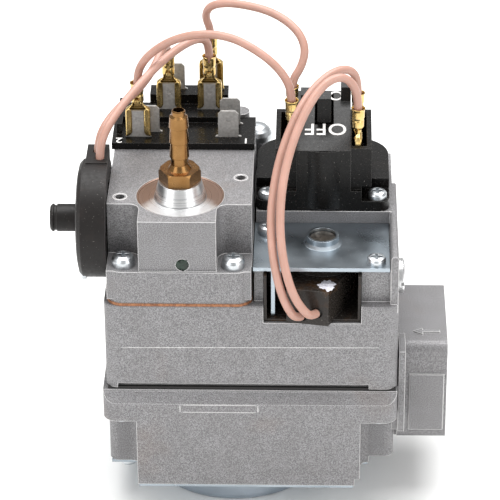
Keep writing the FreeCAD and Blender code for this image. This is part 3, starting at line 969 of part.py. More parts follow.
# ---------------------------------------------------------------- leads: silicone-insulated wire
LEADS = {
    "solenoid_lead_front": [
        (-45.8, -10.8, 109), (-45.8, -10.8, 114.6), (-44.2, -8, 119.6), (-40.4, -1.6, 123.6),
        (-35.2, 5.8, 127.4), (-29.8, 13, 130.8), (-24.4, 19.4, 133.2), (-19, 25, 134.4),
        (-15.2, 28.8, 133.2), (-13.9, 29.8, 129.4), (-13.9, 29.8, 124.8)],
    "solenoid_lead_back": [
        (-46.6, -6.4, 109.2), (-46.6, -6.4, 114), (-45.2, -3.6, 118.2), (-42, 1, 121.2),
        (-38, 6, 123.4), (-34.2, 10.8, 125.4), (-31.2, 15.8, 127.8), (-29.2, 20.8, 130.2),
        (-28, 25, 131.9), (-27.3, 28, 131), (-26.8, 29.8, 128.4), (-26.8, 29.8, 125.2)],
    "switch_lead_front": [
        (-35.7, 14.8, 121.6), (-35.7, 14.8, 127.4), (-33.4, 14.4, 132.6), (-29.2, 13.6, 137),
        (-24, 12.4, 140.6), (-18, 10.9, 143), (-11.8, 9, 144.2), (-5.6, 7, 143.8),
        (-0.6, 5.2, 142), (4.4, 3.6, 139.2), (8.4, 2.3, 135.8), (11.2, 1.3, 131.8),
        (12.3, 0.9, 127.4), (12.3, 0.9, 123)],
    "switch_lead_back": [
        (-13.6, 37, 127), (-13.6, 37, 132.4), (-15.4, 36.8, 137), (-13.8, 35.2, 141.4),
        (-8.6, 32.8, 143.6), (-1.8, 29.6, 144.2), (5, 26, 144), (10.8, 22, 142.4),
        (14.8, 18.4, 139.6), (16.4, 15, 135.8), (15, 12.2, 131.4), (12.3, 10.4, 128),
        (12.3, 10.4, 123.4)],
    "coil_lead_front": [
        (32.5, 0.5, 121), (32.5, 0.5, 126.6), (31, 0.2, 131.8), (27.6, -1, 135.2),
        (23, -3.2, 134.4), (19, -6.8, 131), (15.6, -11.4, 126.2), (12.8, -16.8, 120.8),
        (10.6, -22.6, 114.6), (9.4, -28.4, 108), (9.2, -34, 101), (10, -39, 94.6),
        (11.6, -42.8, 88.6), (13.8, -44.2, 82.8), (16.4, -43, 77.8), (18.5, -41.2, 74.7),
        (20.2, -38.5, 74.2)],
    "coil_lead_back": [
        (32.5, 10.9, 121), (32.5, 10.9, 126.6), (31.2, 9.6, 131.4), (27.8, 7, 133.8),
        (23.2, 3.2, 133.4), (18.6, -1.6, 130.8), (14.6, -6.8, 126.6), (11.2, -12.4, 121),
        (8.6, -18.4, 114.8), (7, -24.6, 108), (6.4, -30.6, 101.4), (6.9, -36.4, 95.2),
        (8.2, -41, 89), (10, -43, 83), (11.9, -42, 77.6), (13.8, -40.2, 73.6), (15.6, -37.7, 72.6)],
}


def route(points):
    """Straight runs joined by tangent arcs, each as large as its two runs allow."""
    spots = [V(*point) for point in points]
    runs = [(b - a).Length for a, b in zip(spots, spots[1:])]
    edges, radii, start = [], [], spots[0]
    for i in range(1, len(spots) - 1):
        before = (spots[i] - spots[i - 1]).normalize()
        after = (spots[i + 1] - spots[i]).normalize()
        half = before.getAngle(after) / 2
        reach = 0.45 * min(runs[i - 1], runs[i])
        radius = reach / math.tan(half)
        enter, leave = spots[i] - before * reach, spots[i] + after * reach
        inward = (after - before).normalize()
        middle = spots[i] + inward * (radius / math.cos(half) - radius)
        edges += [Part.LineSegment(start, enter).toShape(), Part.Arc(enter, middle, leave).toShape()]
        radii.append(radius)
        start = leave
    edges.append(Part.LineSegment(start, spots[-1]).toShape())
    return Part.Wire(edges), radii


def lead(name, points):
    """A round wire along its route; prints its length, its bends and how full its section is."""
    path, radii = route(points)
    radius = number("lead_radius")
    first = V(*points[1]) - V(*points[0])
    section = Part.Wire(Part.makeCircle(radius, V(*points[0]), first).Edges)
    thing = doc.addObject("Part::Feature", name)
    thing.Shape = path.makePipeShell([section], True, True)
    full = thing.Shape.Volume / (math.pi * radius ** 2 * path.Length)
    print(f"{name:20s} length {path.Length:6.1f}  radii {', '.join(f'{r:.1f}' for r in radii)}"
          f"  volume over section x length {full:.4f}")
    return thing


def connectors():
    """The eight receptacles: four on the terminal block, four turned sideways in the switch."""
    doc.recompute()
    master = connector_master()
    doc.recompute()
    shapes = []
    for index in (0, 3, 4, 6):
        x, y, z = (number(text) for text in TABS[index])
        shapes.append((V(x, y + number("tab_gauge") / 2, z), 0))
    for side, (x, foot) in SOCKETS.items():
        for y in SOCKET_Y[side]:
            shapes.append((V(number(x), number(y), number(foot)), 90 if side == "left" else -90))
    copied = []
    for point, angle in shapes:
        copy = master.Shape.copy()
        copy.Placement = FreeCAD.Placement(point, FreeCAD.Rotation(V(0, 0, 1), angle))
        copied.append(copy)
    return group("push_on_connectors", copied)


# ---------------------------------------------------------------- build, check and write
pieces = [base_casting(), upper_casting(), servo_casting(), servo_gasket(), *main_valve(),
          *bottom_parts(), *regulator(), *side_solenoid(), terminal_block(), terminal_tabs(),
          switch_housing(), *switch_parts(), coil_bracket(), *main_coil(), *fasteners(), connectors(),
          *[lead(name, points) for name, points in LEADS.items()]]
doc.recompute()

faults = [f"{thing.Name}: {thing.State}" for thing in doc.Objects
          if "Invalid" in thing.State or "Error" in thing.State]
for piece in pieces:
    piece.Label = piece.Name
    if piece.Shape.isNull() or not piece.Shape.isValid():
        faults.append(f"{piece.Label}: no valid shape")
if faults:
    raise RuntimeError("; ".join(faults))

os.makedirs("parts", exist_ok=True)
for piece in pieces:
    piece.Shape.exportStep(f"parts/{piece.Label}.step")
    print(f"{piece.Label:22s} solids {len(piece.Shape.Solids)}  volume {piece.Shape.Volume:10.1f}")
print(len(pieces), "nodes")
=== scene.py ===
# %% [markdown]
# # A combination gas valve
# This script dresses a die-cast gas valve: three sand-blasted castings stacked on each other, a black
# switch with jumper leads, a brass hose nipple and a handful of zinc-plated screws. The shapes that move
# and fasten come from the imported model. What is added here is finish, small surface detail and the leads.
# The first cell loads the imported model.

# %% Load the imported model
import json
import math

import bmesh
import bpy
import numpy as np
from mathutils import Matrix, Vector


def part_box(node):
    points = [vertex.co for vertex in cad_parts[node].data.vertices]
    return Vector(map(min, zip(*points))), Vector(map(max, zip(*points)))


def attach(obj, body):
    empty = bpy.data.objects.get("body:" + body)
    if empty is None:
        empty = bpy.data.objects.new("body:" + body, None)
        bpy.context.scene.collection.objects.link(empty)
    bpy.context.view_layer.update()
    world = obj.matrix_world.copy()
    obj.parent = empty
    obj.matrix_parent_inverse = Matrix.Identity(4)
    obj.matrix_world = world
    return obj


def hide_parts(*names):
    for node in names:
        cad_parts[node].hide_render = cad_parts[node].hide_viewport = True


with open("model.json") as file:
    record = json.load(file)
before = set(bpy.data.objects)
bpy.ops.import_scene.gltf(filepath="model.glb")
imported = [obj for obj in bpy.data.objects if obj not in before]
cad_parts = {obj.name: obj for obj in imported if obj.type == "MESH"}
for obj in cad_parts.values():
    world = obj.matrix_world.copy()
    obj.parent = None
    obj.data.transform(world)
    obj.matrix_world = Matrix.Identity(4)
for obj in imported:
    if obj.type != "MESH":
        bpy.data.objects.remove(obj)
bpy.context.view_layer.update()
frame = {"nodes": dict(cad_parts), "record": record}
MM = 0.001
record = frame["record"]
nodes = frame["nodes"]
print("pieces in the packed model:", len(nodes))

# %% [markdown]
# ## Camera
# The valve is seen as in a catalogue: from the front, 30 degrees above the horizon and from about
# a metre away, with a long lens, so that parallel edges stay nearly parallel. A camera looks along its
# own -Z, so its matrix is built from three directions: right, up and back.

# %% Camera
CAMERA_PLACE = Vector((21.5, -762.1, 514.0)) * MM
CAMERA_YAW, CAMERA_PITCH, CAMERA_ROLL = (math.radians(angle) for angle in (1.67, 30.0, -0.43))
LENS, SENSOR = 202.5, 36.0


def camera_matrix():
    """Right, up and back directions from yaw, pitch and roll, with the camera's place as last column."""
    look = Vector((-math.sin(CAMERA_YAW) * math.cos(CAMERA_PITCH),
                   math.cos(CAMERA_YAW) * math.cos(CAMERA_PITCH), -math.sin(CAMERA_PITCH)))
    level = look.cross(Vector((0, 0, 1))).normalized()
    lift = level.cross(look)
    right = level * math.cos(CAMERA_ROLL) + lift * math.sin(CAMERA_ROLL)
    up = lift * math.cos(CAMERA_ROLL) - level * math.sin(CAMERA_ROLL)
    columns = Matrix((right, up, -look)).transposed().to_4x4()
    columns.translation = CAMERA_PLACE
    return columns


lens = bpy.data.cameras.new("catalogue_lens")
lens.lens, lens.sensor_width, lens.clip_start = LENS, SENSOR, 0.05
camera = bpy.data.objects.new("catalogue_camera", lens)
bpy.context.scene.collection.objects.link(camera)
camera.matrix_world = camera_matrix()
bpy.context.scene.camera = camera
print("lens (mm):", LENS)

# %% [markdown]
# ## Jumper leads
# Six silicone-insulated leads join the coils, the switch and the terminal block. Silicone is limp and
# springs into open arcs, so each lead is one smooth curve. A NURBS curve of order 3 passes near its
# points without any kink, which suits a soft wire better than straight runs with fillets. The points
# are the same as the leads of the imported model, in millimetres.

# %% Jumper leads
LEAD_DIAMETER = 2.6
LEADS = {
    "solenoid_lead_front": [
        (-45.8, -10.8, 109), (-45.8, -10.8, 114.6), (-44.2, -8, 119.6), (-40.4, -1.6, 123.6),
        (-35.2, 5.8, 127.4), (-29.8, 13, 130.8), (-24.4, 19.4, 133.2), (-19, 25, 134.4),
        (-15.2, 28.8, 133.2), (-13.9, 29.8, 129.4), (-13.9, 29.8, 124.8)],
    "solenoid_lead_back": [
        (-46.6, -6.4, 109.2), (-46.6, -6.4, 114), (-45.2, -3.6, 118.2), (-42, 1, 121.2),
        (-38, 6, 123.4), (-34.2, 10.8, 125.4), (-31.2, 15.8, 127.8), (-29.2, 20.8, 130.2),
        (-28, 25, 131.9), (-27.3, 28, 131), (-26.8, 29.8, 128.4), (-26.8, 29.8, 125.2)],
    "switch_lead_front": [
        (-35.7, 14.8, 121.6), (-35.7, 14.8, 127.4), (-33.4, 14.4, 132.6), (-29.2, 13.6, 137),
        (-24, 12.4, 140.6), (-18, 10.9, 143), (-11.8, 9, 144.2), (-5.6, 7, 143.8),
        (-0.6, 5.2, 142), (4.4, 3.6, 139.2), (8.4, 2.3, 135.8), (11.2, 1.3, 131.8),
        (12.3, 0.9, 127.4), (12.3, 0.9, 123)],
    "switch_lead_back": [
        (-13.6, 37, 127), (-13.6, 37, 132.4), (-15.4, 36.8, 137), (-13.8, 35.2, 141.4),
        (-8.6, 32.8, 143.6), (-1.8, 29.6, 144.2), (5, 26, 144), (10.8, 22, 142.4),
        (14.8, 18.4, 139.6), (16.4, 15, 135.8), (15, 12.2, 131.4), (12.3, 10.4, 128),
        (12.3, 10.4, 123.4)],
    "coil_lead_front": [
        (32.5, 0.5, 121), (32.5, 0.5, 126.6), (31, 0.2, 131.8), (27.6, -1, 135.2),
        (23, -3.2, 134.4), (19, -6.8, 131), (15.6, -11.4, 126.2), (12.8, -16.8, 120.8),
        (10.6, -22.6, 114.6), (9.4, -28.4, 108), (9.2, -34, 101), (10, -39, 94.6),
        (11.6, -42.8, 88.6), (13.8, -44.2, 82.8), (16.4, -43, 77.8), (18.5, -41.2, 74.7),
        (20.2, -38.5, 74.2)],
    "coil_lead_back": [
        (32.5, 10.9, 121), (32.5, 10.9, 126.6), (31.2, 9.6, 131.4), (27.8, 7, 133.8),
        (23.2, 3.2, 133.4), (18.6, -1.6, 130.8), (14.6, -6.8, 126.6), (11.2, -12.4, 121),
        (8.6, -18.4, 114.8), (7, -24.6, 108), (6.4, -30.6, 101.4), (6.9, -36.4, 95.2),
        (8.2, -41, 89), (10, -43, 83), (11.9, -42, 77.6), (13.8, -40.2, 73.6), (15.6, -37.7, 72.6)],
}


def lead_length(curve):
    """Length of the curve's own line, read from the edges of the line without its thickness."""
    thickness, curve.data.bevel_depth = curve.data.bevel_depth, 0
    line = bpy.data.meshes.new_from_object(curve.evaluated_get(bpy.context.evaluated_depsgraph_get()))
    curve.data.bevel_depth = thickness
    places = np.array([vertex.co for vertex in line.vertices])
    ends = np.array([edge.vertices[:] for edge in line.edges])
    return float(np.linalg.norm(places[ends[:, 0]] - places[ends[:, 1]], axis=1).sum())


def make_lead(name, points):
    """A round tube around an open NURBS curve that has the route's points as its control points. The
    profile has radius 1 and the points carry the lead's radius, which keeps the curve's own box tight."""
    data = bpy.data.curves.new(name + "_wire", "CURVE")
    data.dimensions = "3D"
    data.bevel_depth = 1
    data.bevel_resolution = 8
    data.resolution_u = 12
    spline = data.splines.new("NURBS")
    spline.points.add(len(points) - 1)
    for control, place in zip(spline.points, points):
        control.co = (*(Vector(place) * MM), 1)
        control.radius = LEAD_DIAMETER / 2 * MM
    spline.order_u = 3
    spline.use_endpoint_u = True
    data.use_fill_caps = True
    wire = bpy.data.objects.new(name + "_wire", data)
    bpy.context.scene.collection.objects.link(wire)
    return wire


leads = []
for name, points in LEADS.items():
    wire = make_lead(name, points)
    leads.append(wire)
    long = lead_length(wire)
    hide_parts(name)
    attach(wire, "valve")
    print(f"{name}: {long / MM:.1f} mm")

# %% [markdown]
# ## Colour and nodes
# Colours are written as the sRGB hex values that a paint chart would give. Blender's shaders want linear
# light, so one function turns them over. A second function adds a node to a finish with its settings and
# inputs, and hands back the output that the next node reads. A hex value given to it is turned to linear.
# A Map Range node is told by socket number: 0 the value, 1 and 2 its range, 3 and 4 the range it becomes.

# %% Colour and nodes
def linear(chart):
    """sRGB hex to linear RGBA: values under 0.04045 are divided by 12.92, the rest follow a 2.4 power."""
    parts = np.array([int(chart[i:i + 2], 16) / 255 for i in (1, 3, 5)])
    light = np.where(parts <= 0.04045, parts / 12.92, ((parts + 0.055) / 1.055) ** 2.4)
    return (*(float(part) for part in light), 1.0)


def add(finish, kind, inputs=None, out=0, **settings):
    """Adds one node with its settings, fills or links its inputs, and returns one of its outputs."""
    made = finish.node_tree.nodes.new("ShaderNode" + kind)
    for key, value in settings.items():
        setattr(made, key, value)
    for socket, value in (inputs or {}).items():
        if isinstance(value, bpy.types.NodeSocket):
            finish.node_tree.links.new(value, made.inputs[socket])
        else:
            made.inputs[socket].default_value = linear(value) if isinstance(value, str) else value
    return made.outputs[out]


def new_finish(name, colour, metallic, roughness, **even):
    """A material with one Principled shader, whose even values sit on the shader's own sockets."""
    finish = bpy.data.materials.new(name)
    finish.use_nodes = True
    finish.diffuse_color = linear(colour)
    shader = finish.node_tree.nodes["Principled BSDF"]
    values = {"Base Color": linear(colour), "Metallic": metallic, "Roughness": roughness}
    values.update({socket.replace("_", " "): value for socket, value in even.items()})
    for socket, value in values.items():
        shader.inputs[socket].default_value = value
    return finish, shader


def connect(finish, shader, **links):
    """Links node outputs to the shader's sockets, named with _ for a space."""
    for socket, output in links.items():
        finish.node_tree.links.new(output, shader.inputs[socket.replace("_", " ")])


RGB = {"data_type": "RGBA", "out": 2}
SMOOTH = {"interpolation_type": "SMOOTHSTEP"}
print("helpers for finishes are ready")

# %% [markdown]
# ## Finish: blasted die casting
# The bodies are pressure die-cast aluminium, blasted with fine grit. Grit breaks the mirror of the metal
# into grains, so the eye sees a matt grey with a fine sparkle, and the edges read as light lines: partly
# wear from handling, partly a painted highlight. Grit marks are about 0.15 mm, drawn at 0.3 mm so that
# they show. The edge lines come from a Bevel node: where its rounded normal leans away from the true one,
# the metal is painted paler. Wide faint brown clouds stand for handling stains.

# %% Finish: blasted die casting
GRIT, CLOUD, STAIN = 0.30, 6.0, 22.0


def blasted_casting(name, dark, light, stain_share):
    """Grit mixes the two greys, clouds and stains lie over them, and the edges are painted paler: wear and
    highlight.
    """
    finish, shader = new_finish(name, dark, 0.35, 0.55)
    place = add(finish, "TexCoord", out="Object")
    grit = add(finish, "TexNoise", {"Vector": place, "Scale": 1 / (GRIT * MM), "Detail": 1.0})
    cloud = add(finish, "TexNoise", {"Vector": place, "Scale": 1 / (CLOUD * MM), "Detail": 3.0})
    stain = add(finish, "TexNoise", {"Vector": place, "Scale": 1 / (STAIN * MM), "Detail": 3.0})
    tone = add(finish, "Mix", {0: add(finish, "MapRange", {0: grit, 1: 0.32, 2: 0.68}), 6: dark, 7: light},
               **RGB)
    shade = add(finish, "MapRange", {0: cloud, 1: 0.35, 2: 0.65, 3: 0.0, 4: 0.22}, **SMOOTH)
    tone = add(finish, "Mix", {0: shade, 6: tone, 7: "#6f6c6c"}, **RGB)
    brown = add(finish, "MapRange", {0: stain, 1: 0.60, 2: 0.76, 3: 0.0, 4: stain_share}, **SMOOTH)
    tone = add(finish, "Mix", {0: brown, 6: tone, 7: "#7d6350"}, **RGB)
    rounded = add(finish, "Bevel", {"Radius": 0.4 * MM}, samples=8)
    true = add(finish, "NewGeometry", out="Normal")
    lean = add(finish, "VectorMath", {0: rounded, 1: true}, out="Value", operation="DOT_PRODUCT")
    # Painted highlight and wear: the edges are mixed towards near-white where the bevel normal leans away.
    edge_wear_and_highlight = add(finish, "MapRange", {0: lean, 1: 0.985, 2: 0.85, 3: 0.0, 4: 1.0}, **SMOOTH)
    tone = add(finish, "Mix", {0: edge_wear_and_highlight, 6: tone, 7: "#eeedec"}, **RGB)
    connect(finish, shader, Base_Color=tone,
            Roughness=add(finish, "MapRange", {0: grit, 1: 0.3, 2: 0.7, 3: 0.60, 4: 0.46}),
            Normal=add(finish, "Bump", {"Height": grit, "Distance": 0.03 * MM, "Strength": 0.7,
                                        "Normal": rounded}))
    return finish


casting = blasted_casting("blasted_die_casting", "#636264", "#999899", 0.16)
print("casting finish:", casting.name)

# %% [markdown]
# ## Finish: turned aluminium
# The regulator's cap and the seat around it are cut on a lathe. The tool leaves rings about 0.15 mm apart,
# drawn at 0.3 mm, and each ring throws a thin highlight. The rings are noise read along one direction
# only: the distance from the turning axis. A warm coppery tint is painted at the sides and the back of the
# seat and leaves the front bright: it is a painted reflection, fixed in the colour.

# %% Finish: turned aluminium
RING = 0.30
cap_low, cap_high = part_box("regulator_cap")
LATHE = [(cap_low[i] + cap_high[i]) / 2 for i in (0, 1)]


def turned_aluminium(name, colour, tint, tint_share):
    """Rings of noise by distance from the axis, and a painted reflection: a coppery tint that grows to the
    sides and the back.
    """
    finish, shader = new_finish(name, colour, 1.0, 0.30)
    place = add(finish, "TexCoord", out="Object")
    centred = add(finish, "VectorMath", {0: place, 1: (-LATHE[0], -LATHE[1], 0.0)}, operation="ADD")
    flat = add(finish, "VectorMath", {0: centred, 1: (1.0, 1.0, 0.0)}, operation="MULTIPLY")
    away = add(finish, "VectorMath", {0: flat}, out="Value", operation="LENGTH")
    height = add(finish, "SeparateXYZ", {0: centred}, out="Z")
    along = add(finish, "Math", {0: height, 1: 0.8, 2: away}, operation="MULTIPLY_ADD")
    rings = add(finish, "TexNoise", {"W": along, "Scale": 1 / (RING * MM), "Detail": 2.0},
                noise_dimensions="1D")
    tone = add(finish, "Mix", {0: add(finish, "MapRange", {0: rings, 1: 0.25, 2: 0.75}), 6: colour,
               7: "#e9e9e8"}, **RGB)
    # Painted reflection: the tint grows towards the sides and the back of the axis, and the front stays
    # bright.
    side = add(finish, "Math", {0: add(finish, "SeparateXYZ", {0: centred}, out="X")}, operation="ABSOLUTE")
    depth = add(finish, "SeparateXYZ", {0: centred}, out="Y")
    warm = add(finish, "Math", {0: depth, 1: 0.8, 2: side}, operation="MULTIPLY_ADD")
    blot = add(finish, "TexNoise", {"Vector": place, "Scale": 1 / (4.0 * MM), "Detail": 3.0})
    warm = add(finish, "Math", {0: blot, 1: 5 * MM, 2: warm}, operation="MULTIPLY_ADD")
    painted_reflection_share = add(finish, "MapRange", {0: warm, 1: 5.5 * MM, 2: 11 * MM, 3: 0.0, 4: tint_share}, **SMOOTH)
    tone = add(finish, "Mix", {0: painted_reflection_share, 6: tone, 7: tint}, **RGB)
    connect(finish, shader, Base_Color=tone,
            Roughness=add(finish, "MapRange", {0: rings, 1: 0.2, 2: 0.8, 3: 0.22, 4: 0.40}),
            Normal=add(finish, "Bump", {"Height": rings, "Distance": 0.02 * MM, "Strength": 0.45,
                                        "Normal": add(finish, "Bevel", {"Radius": 0.2 * MM}, samples=6)}))
    return finish


cone_metal = turned_aluminium("turned_aluminium", "#b9babc", "#b9babc", 0.0)
# The seat carries the coppery tint as a painted reflection.
seat_metal_painted_reflection = turned_aluminium("turned_aluminium_painted_reflection", "#e8e8ea", "#8c6a55", 0.88)
print("lathe axis (mm):", [round(value / MM, 1) for value in LATHE])

# %% [markdown]
# ## Finish: zinc plate and steel
# The bracket, the bottom cover and the screws are steel with a bright clear zinc plate. It is bluish and
# mirror-like but soft, because the plate follows the rolled steel under it. The softness is a slow cloud
# in the roughness, and fine pale specks stand for dust that sits on it. Spring wire and the magnetic core
# are bare steel, greyer and duller.

# %% Finish: zinc plate and steel
def plated_steel(name, dark, light, roughness, cloud_mm, dust):
    """Slow clouds in colour and roughness, a fine ripple, and dust as rare pale specks."""
    finish, shader = new_finish(name, dark, 1.0, roughness)
    place = add(finish, "TexCoord", out="Object")
    cloud = add(finish, "TexNoise", {"Vector": place, "Scale": 1 / (cloud_mm * MM), "Detail": 2.0})
    speck = add(finish, "TexNoise", {"Vector": place, "Scale": 1 / (0.45 * MM), "Detail": 1.0})
    ripple = add(finish, "TexNoise", {"Vector": place, "Scale": 1 / (1.2 * MM), "Detail": 2.0})
    tone = add(finish, "Mix", {0: add(finish, "MapRange", {0: cloud, 1: 0.2, 2: 0.8}), 6: dark, 7: light},
               **RGB)
    dusty = add(finish, "MapRange", {0: speck, 1: 0.71, 2: 0.78, 3: 0.0, 4: dust})
    tone = add(finish, "Mix", {0: dusty, 6: tone, 7: "#eef1f3"}, **RGB)
    connect(finish, shader, Base_Color=tone,
            Roughness=add(finish, "MapRange", {0: cloud, 1: 0.3, 2: 0.7, 3: roughness * 0.8,
                          4: roughness * 1.25}),
            Normal=add(finish, "Bump", {"Height": ripple, "Distance": 0.01 * MM, "Strength": 0.2,
                                        "Normal": add(finish, "Bevel", {"Radius": 0.2 * MM}, samples=6)}))
    return finish


screw_zinc = plated_steel("zinc_plated_screw_steel", "#b9bdc0", "#d5d9dc", 0.33, 2.0, 0.0)
sheet_zinc = plated_steel("zinc_plated_sheet_steel", "#96a0a8", "#b3bcc3", 0.30, 14.0, 0.5)
cover_zinc = plated_steel("zinc_plated_cover_steel", "#9aa4ae", "#b4bdc6", 0.36, 9.0, 0.15)
spring_wire = plated_steel("drawn_spring_wire", "#8d8d8b", "#a5a5a3", 0.32, 1.5, 0.0)
core_steel = plated_steel("ground_magnetic_steel", "#6a635c", "#8b847b", 0.40, 1.0, 0.0)
print("plated finishes: 5")

# %% [markdown]
# ## Finish: brass and tin plate
# The hose nipple is turned brass that has gone amber with age. The push-on receptacles are thin drawn
# brass, yellower and brighter. The blades that they sit on are brass under matt tin, which is grey,
# slightly mottled and soft in its reflections. The mottling is about 0.8 mm across.

# %% Finish: brass and tin plate
def mottled_metal(name, dark, light, roughness, mottle_mm, metallic, bump):
    """One mottle in millimetres that moves colour, roughness and height together."""
    finish, shader = new_finish(name, light, metallic, roughness)
    place = add(finish, "TexCoord", out="Object")
    mottle = add(finish, "TexNoise", {"Vector": place, "Scale": 1 / (mottle_mm * MM), "Detail": 3.0})
    tone = add(finish, "Mix", {0: add(finish, "MapRange", {0: mottle, 1: 0.25, 2: 0.75}), 6: dark,
               7: light}, **RGB)
    rounded = add(finish, "Bevel", {"Radius": 0.06 * MM}, samples=6)
    connect(finish, shader, Base_Color=tone,
            Roughness=add(finish, "MapRange", {0: mottle, 1: 0.3, 2: 0.7, 3: roughness * 0.85,
                          4: roughness * 1.2}),
            Normal=add(finish, "Bump", {"Height": mottle, "Distance": bump * MM, "Strength": 0.3,
                                        "Normal": rounded}))
    return finish


nipple_brass = mottled_metal("aged_turned_brass", "#7f5c36", "#957147", 0.24, 3.0, 1.0, 0.002)
drawn_brass = mottled_metal("drawn_brass", "#c8a662", "#e2c88c", 0.24, 2.0, 1.0, 0.002)
tin = mottled_metal("matt_tin_plate", "#a19f9c", "#c4c2bf", 0.42, 0.8, 0.55, 0.02)
print("brass and tin finishes: 3")

# %% [markdown]
# ## Finish: black mouldings
# The switch, the terminal block and the solenoid cover are glass-filled polyester, moulded black with a
# semi-gloss skin. At arm's length one sees a soft sheen, a faint orange peel of about 1 mm, pale dust of
# about 0.3 mm and mould-sharp edges that catch the light. The potted coil is the same black but glossier,
# with amber streaks where the resin ran, and the solenoid's cover is browner and duller.

# %% Finish: black mouldings
def black_moulding(name, colour, tint, tint_share, roughness):
    """Black with tinted streaks, paler rounded edges, rare dust and a faint orange peel."""
    finish, shader = new_finish(name, colour, 0.0, roughness, Specular_IOR_Level=0.24)
    place = add(finish, "TexCoord", out="Object")
    peel = add(finish, "TexNoise", {"Vector": place, "Scale": 1 / (1.0 * MM), "Detail": 2.0})
    dust = add(finish, "TexNoise", {"Vector": place, "Scale": 1 / (0.40 * MM), "Detail": 1.0})
    blot = add(finish, "TexNoise", {"Vector": place, "Scale": 1 / (6.0 * MM), "Detail": 3.0})
    streak = add(finish, "MapRange", {0: blot, 1: 0.52, 2: 0.74, 3: 0.0, 4: tint_share}, **SMOOTH)
    tone = add(finish, "Mix", {0: streak, 6: colour, 7: tint}, **RGB)
    rounded = add(finish, "Bevel", {"Radius": 0.25 * MM}, samples=8)
    true = add(finish, "NewGeometry", out="Normal")
    lean = add(finish, "VectorMath", {0: rounded, 1: true}, out="Value", operation="DOT_PRODUCT")
    edge = add(finish, "MapRange", {0: lean, 1: 0.98, 2: 0.82, 3: 0.0, 4: 0.40}, **SMOOTH)
    tone = add(finish, "Mix", {0: edge, 6: tone, 7: "#6f6d6b"}, **RGB)
    tone = add(finish, "Mix", {0: add(finish, "MapRange", {0: dust, 1: 0.735, 2: 0.79, 3: 0.0, 4: 0.55}),
                               6: tone, 7: "#a8a39d"}, **RGB)
    connect(finish, shader, Base_Color=tone,
            Roughness=add(finish, "MapRange", {0: peel, 1: 0.3, 2: 0.7, 3: roughness * 0.85,
                          4: roughness * 1.2}),
            Normal=add(finish, "Bump", {"Height": peel, "Distance": 0.012 * MM, "Strength": 0.3,
                                        "Normal": rounded}))
    return finish


moulding = black_moulding("black_moulded_polyester", "#0d0c0b", "#1a1613", 0.5, 0.27)
cover_moulding = black_moulding("brown_black_moulded_polyester", "#1b1817", "#2a2320", 0.6, 0.46)
potting = black_moulding("black_potting_resin", "#2b2724", "#553a20", 0.55, 0.26)
print("black finishes: 3")

# %% [markdown]
# ## Finish: rubber, fibre, silicone and paint
# The diaphragms are matt dark sheet rubber. The gasket is copper-brown compressed fibre, seen only as a
# thin line. The leads' silicone is salmon pink, slightly translucent and waxy, so it has a little light
# under its skin and a soft, wide highlight. White legend paint and the dark
# green sealing wax are thick and uneven, which a coarse bump gives.

# %% Finish: rubber, fibre, silicone and paint
def soft_stuff(name, dark, light, roughness, grain_mm, bump, **even):
    """One grain in millimetres that mixes two tones and raises the surface a little."""
    finish, shader = new_finish(name, light, 0.0, roughness, **even)
    place = add(finish, "TexCoord", out="Object")
    grain = add(finish, "TexNoise", {"Vector": place, "Scale": 1 / (grain_mm * MM), "Detail": 3.0})
    tone = add(finish, "Mix", {0: add(finish, "MapRange", {0: grain, 1: 0.3, 2: 0.7}), 6: dark, 7: light},
               **RGB)
    connect(finish, shader, Base_Color=tone,
            Normal=add(finish, "Bump", {"Height": grain, "Distance": bump * MM, "Strength": 0.5}))
    return finish


rubber = soft_stuff("nitrile_sheet_rubber", "#141313", "#2a2827", 0.62, 0.4, 0.02)
fibre = soft_stuff("compressed_fibre", "#6b402a", "#a9744f", 0.75, 0.8, 0.05)
lead_skin = soft_stuff("silicone_skin", "#ae8677", "#bb9284", 0.36, 7.0, 0.004, Subsurface_Weight=0.10,
                       Subsurface_Radius=(1.0, 0.4, 0.25), Subsurface_Scale=0.8 * MM)
legend_paint = soft_stuff("white_legend_paint", "#dedddb", "#f2f1ef", 0.45, 0.5, 0.01)
daub_paint = soft_stuff("white_daubed_paint", "#b9b9c2", "#e9e9f0", 0.5, 0.9, 0.25)
wax = soft_stuff("green_sealing_wax", "#06120b", "#12301f", 0.28, 1.1, 0.3)
print("finishes made:", len(bpy.data.materials))

# %% [markdown]
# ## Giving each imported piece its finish
# The record names a material slot for every piece. A small table turns slots into finishes, and a few
# pieces that differ from their slot are named one by one.

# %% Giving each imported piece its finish
BY_SLOT = {
    "cast_aluminium": casting, "turned_aluminium": cone_metal, "zinc_steel": screw_zinc,
    "spring_steel": spring_wire, "brass": nipple_brass, "tinned_brass": tin, "black_plastic": moulding,
    "coil_plastic": potting, "nitrile": rubber, "gasket_fibre": fibre, "silicone_lead": lead_skin,
    "magnetic_steel": core_steel,
}
BY_PIECE = {
    "coil_bracket": sheet_zinc, "bottom_cover": cover_zinc, "bottom_plate": sheet_zinc,
    "contact_bridge": drawn_brass, "push_on_connectors": drawn_brass, "solenoid_tube": cover_moulding,
    "solenoid_cover": cover_moulding,
}
slot_of = {part["node"]: part["material_slot"] for part in record["subparts"]}
for name, piece in nodes.items():
    piece.data.materials.clear()
    piece.data.materials.append(BY_PIECE.get(name, BY_SLOT[slot_of[name]]))
for wire in leads:
    wire.data.materials.append(lead_skin)
print("packed pieces finished:", len(nodes))

# %% [markdown]
# ## Surfaces from grids
# A thin surface is easiest to describe as a grid of points that two parameters run over. One function
# turns such a grid into a mesh: neighbours in the grid become the corners of a face. When the second
# parameter goes round a full turn, the last column is joined to the first.

# %% Surfaces from grids
def grid_faces(rows, columns, closed):
    """Corner numbers of the faces between neighbouring points of a grid, row by row."""
    index = np.arange(rows * columns).reshape(rows, columns)
    if closed:
        index = np.concatenate([index, index[:, :1]], axis=1)
    corners = [index[:-1, :-1], index[1:, :-1], index[1:, 1:], index[:-1, 1:]]
    return np.stack(corners, axis=-1).reshape(-1, 4)


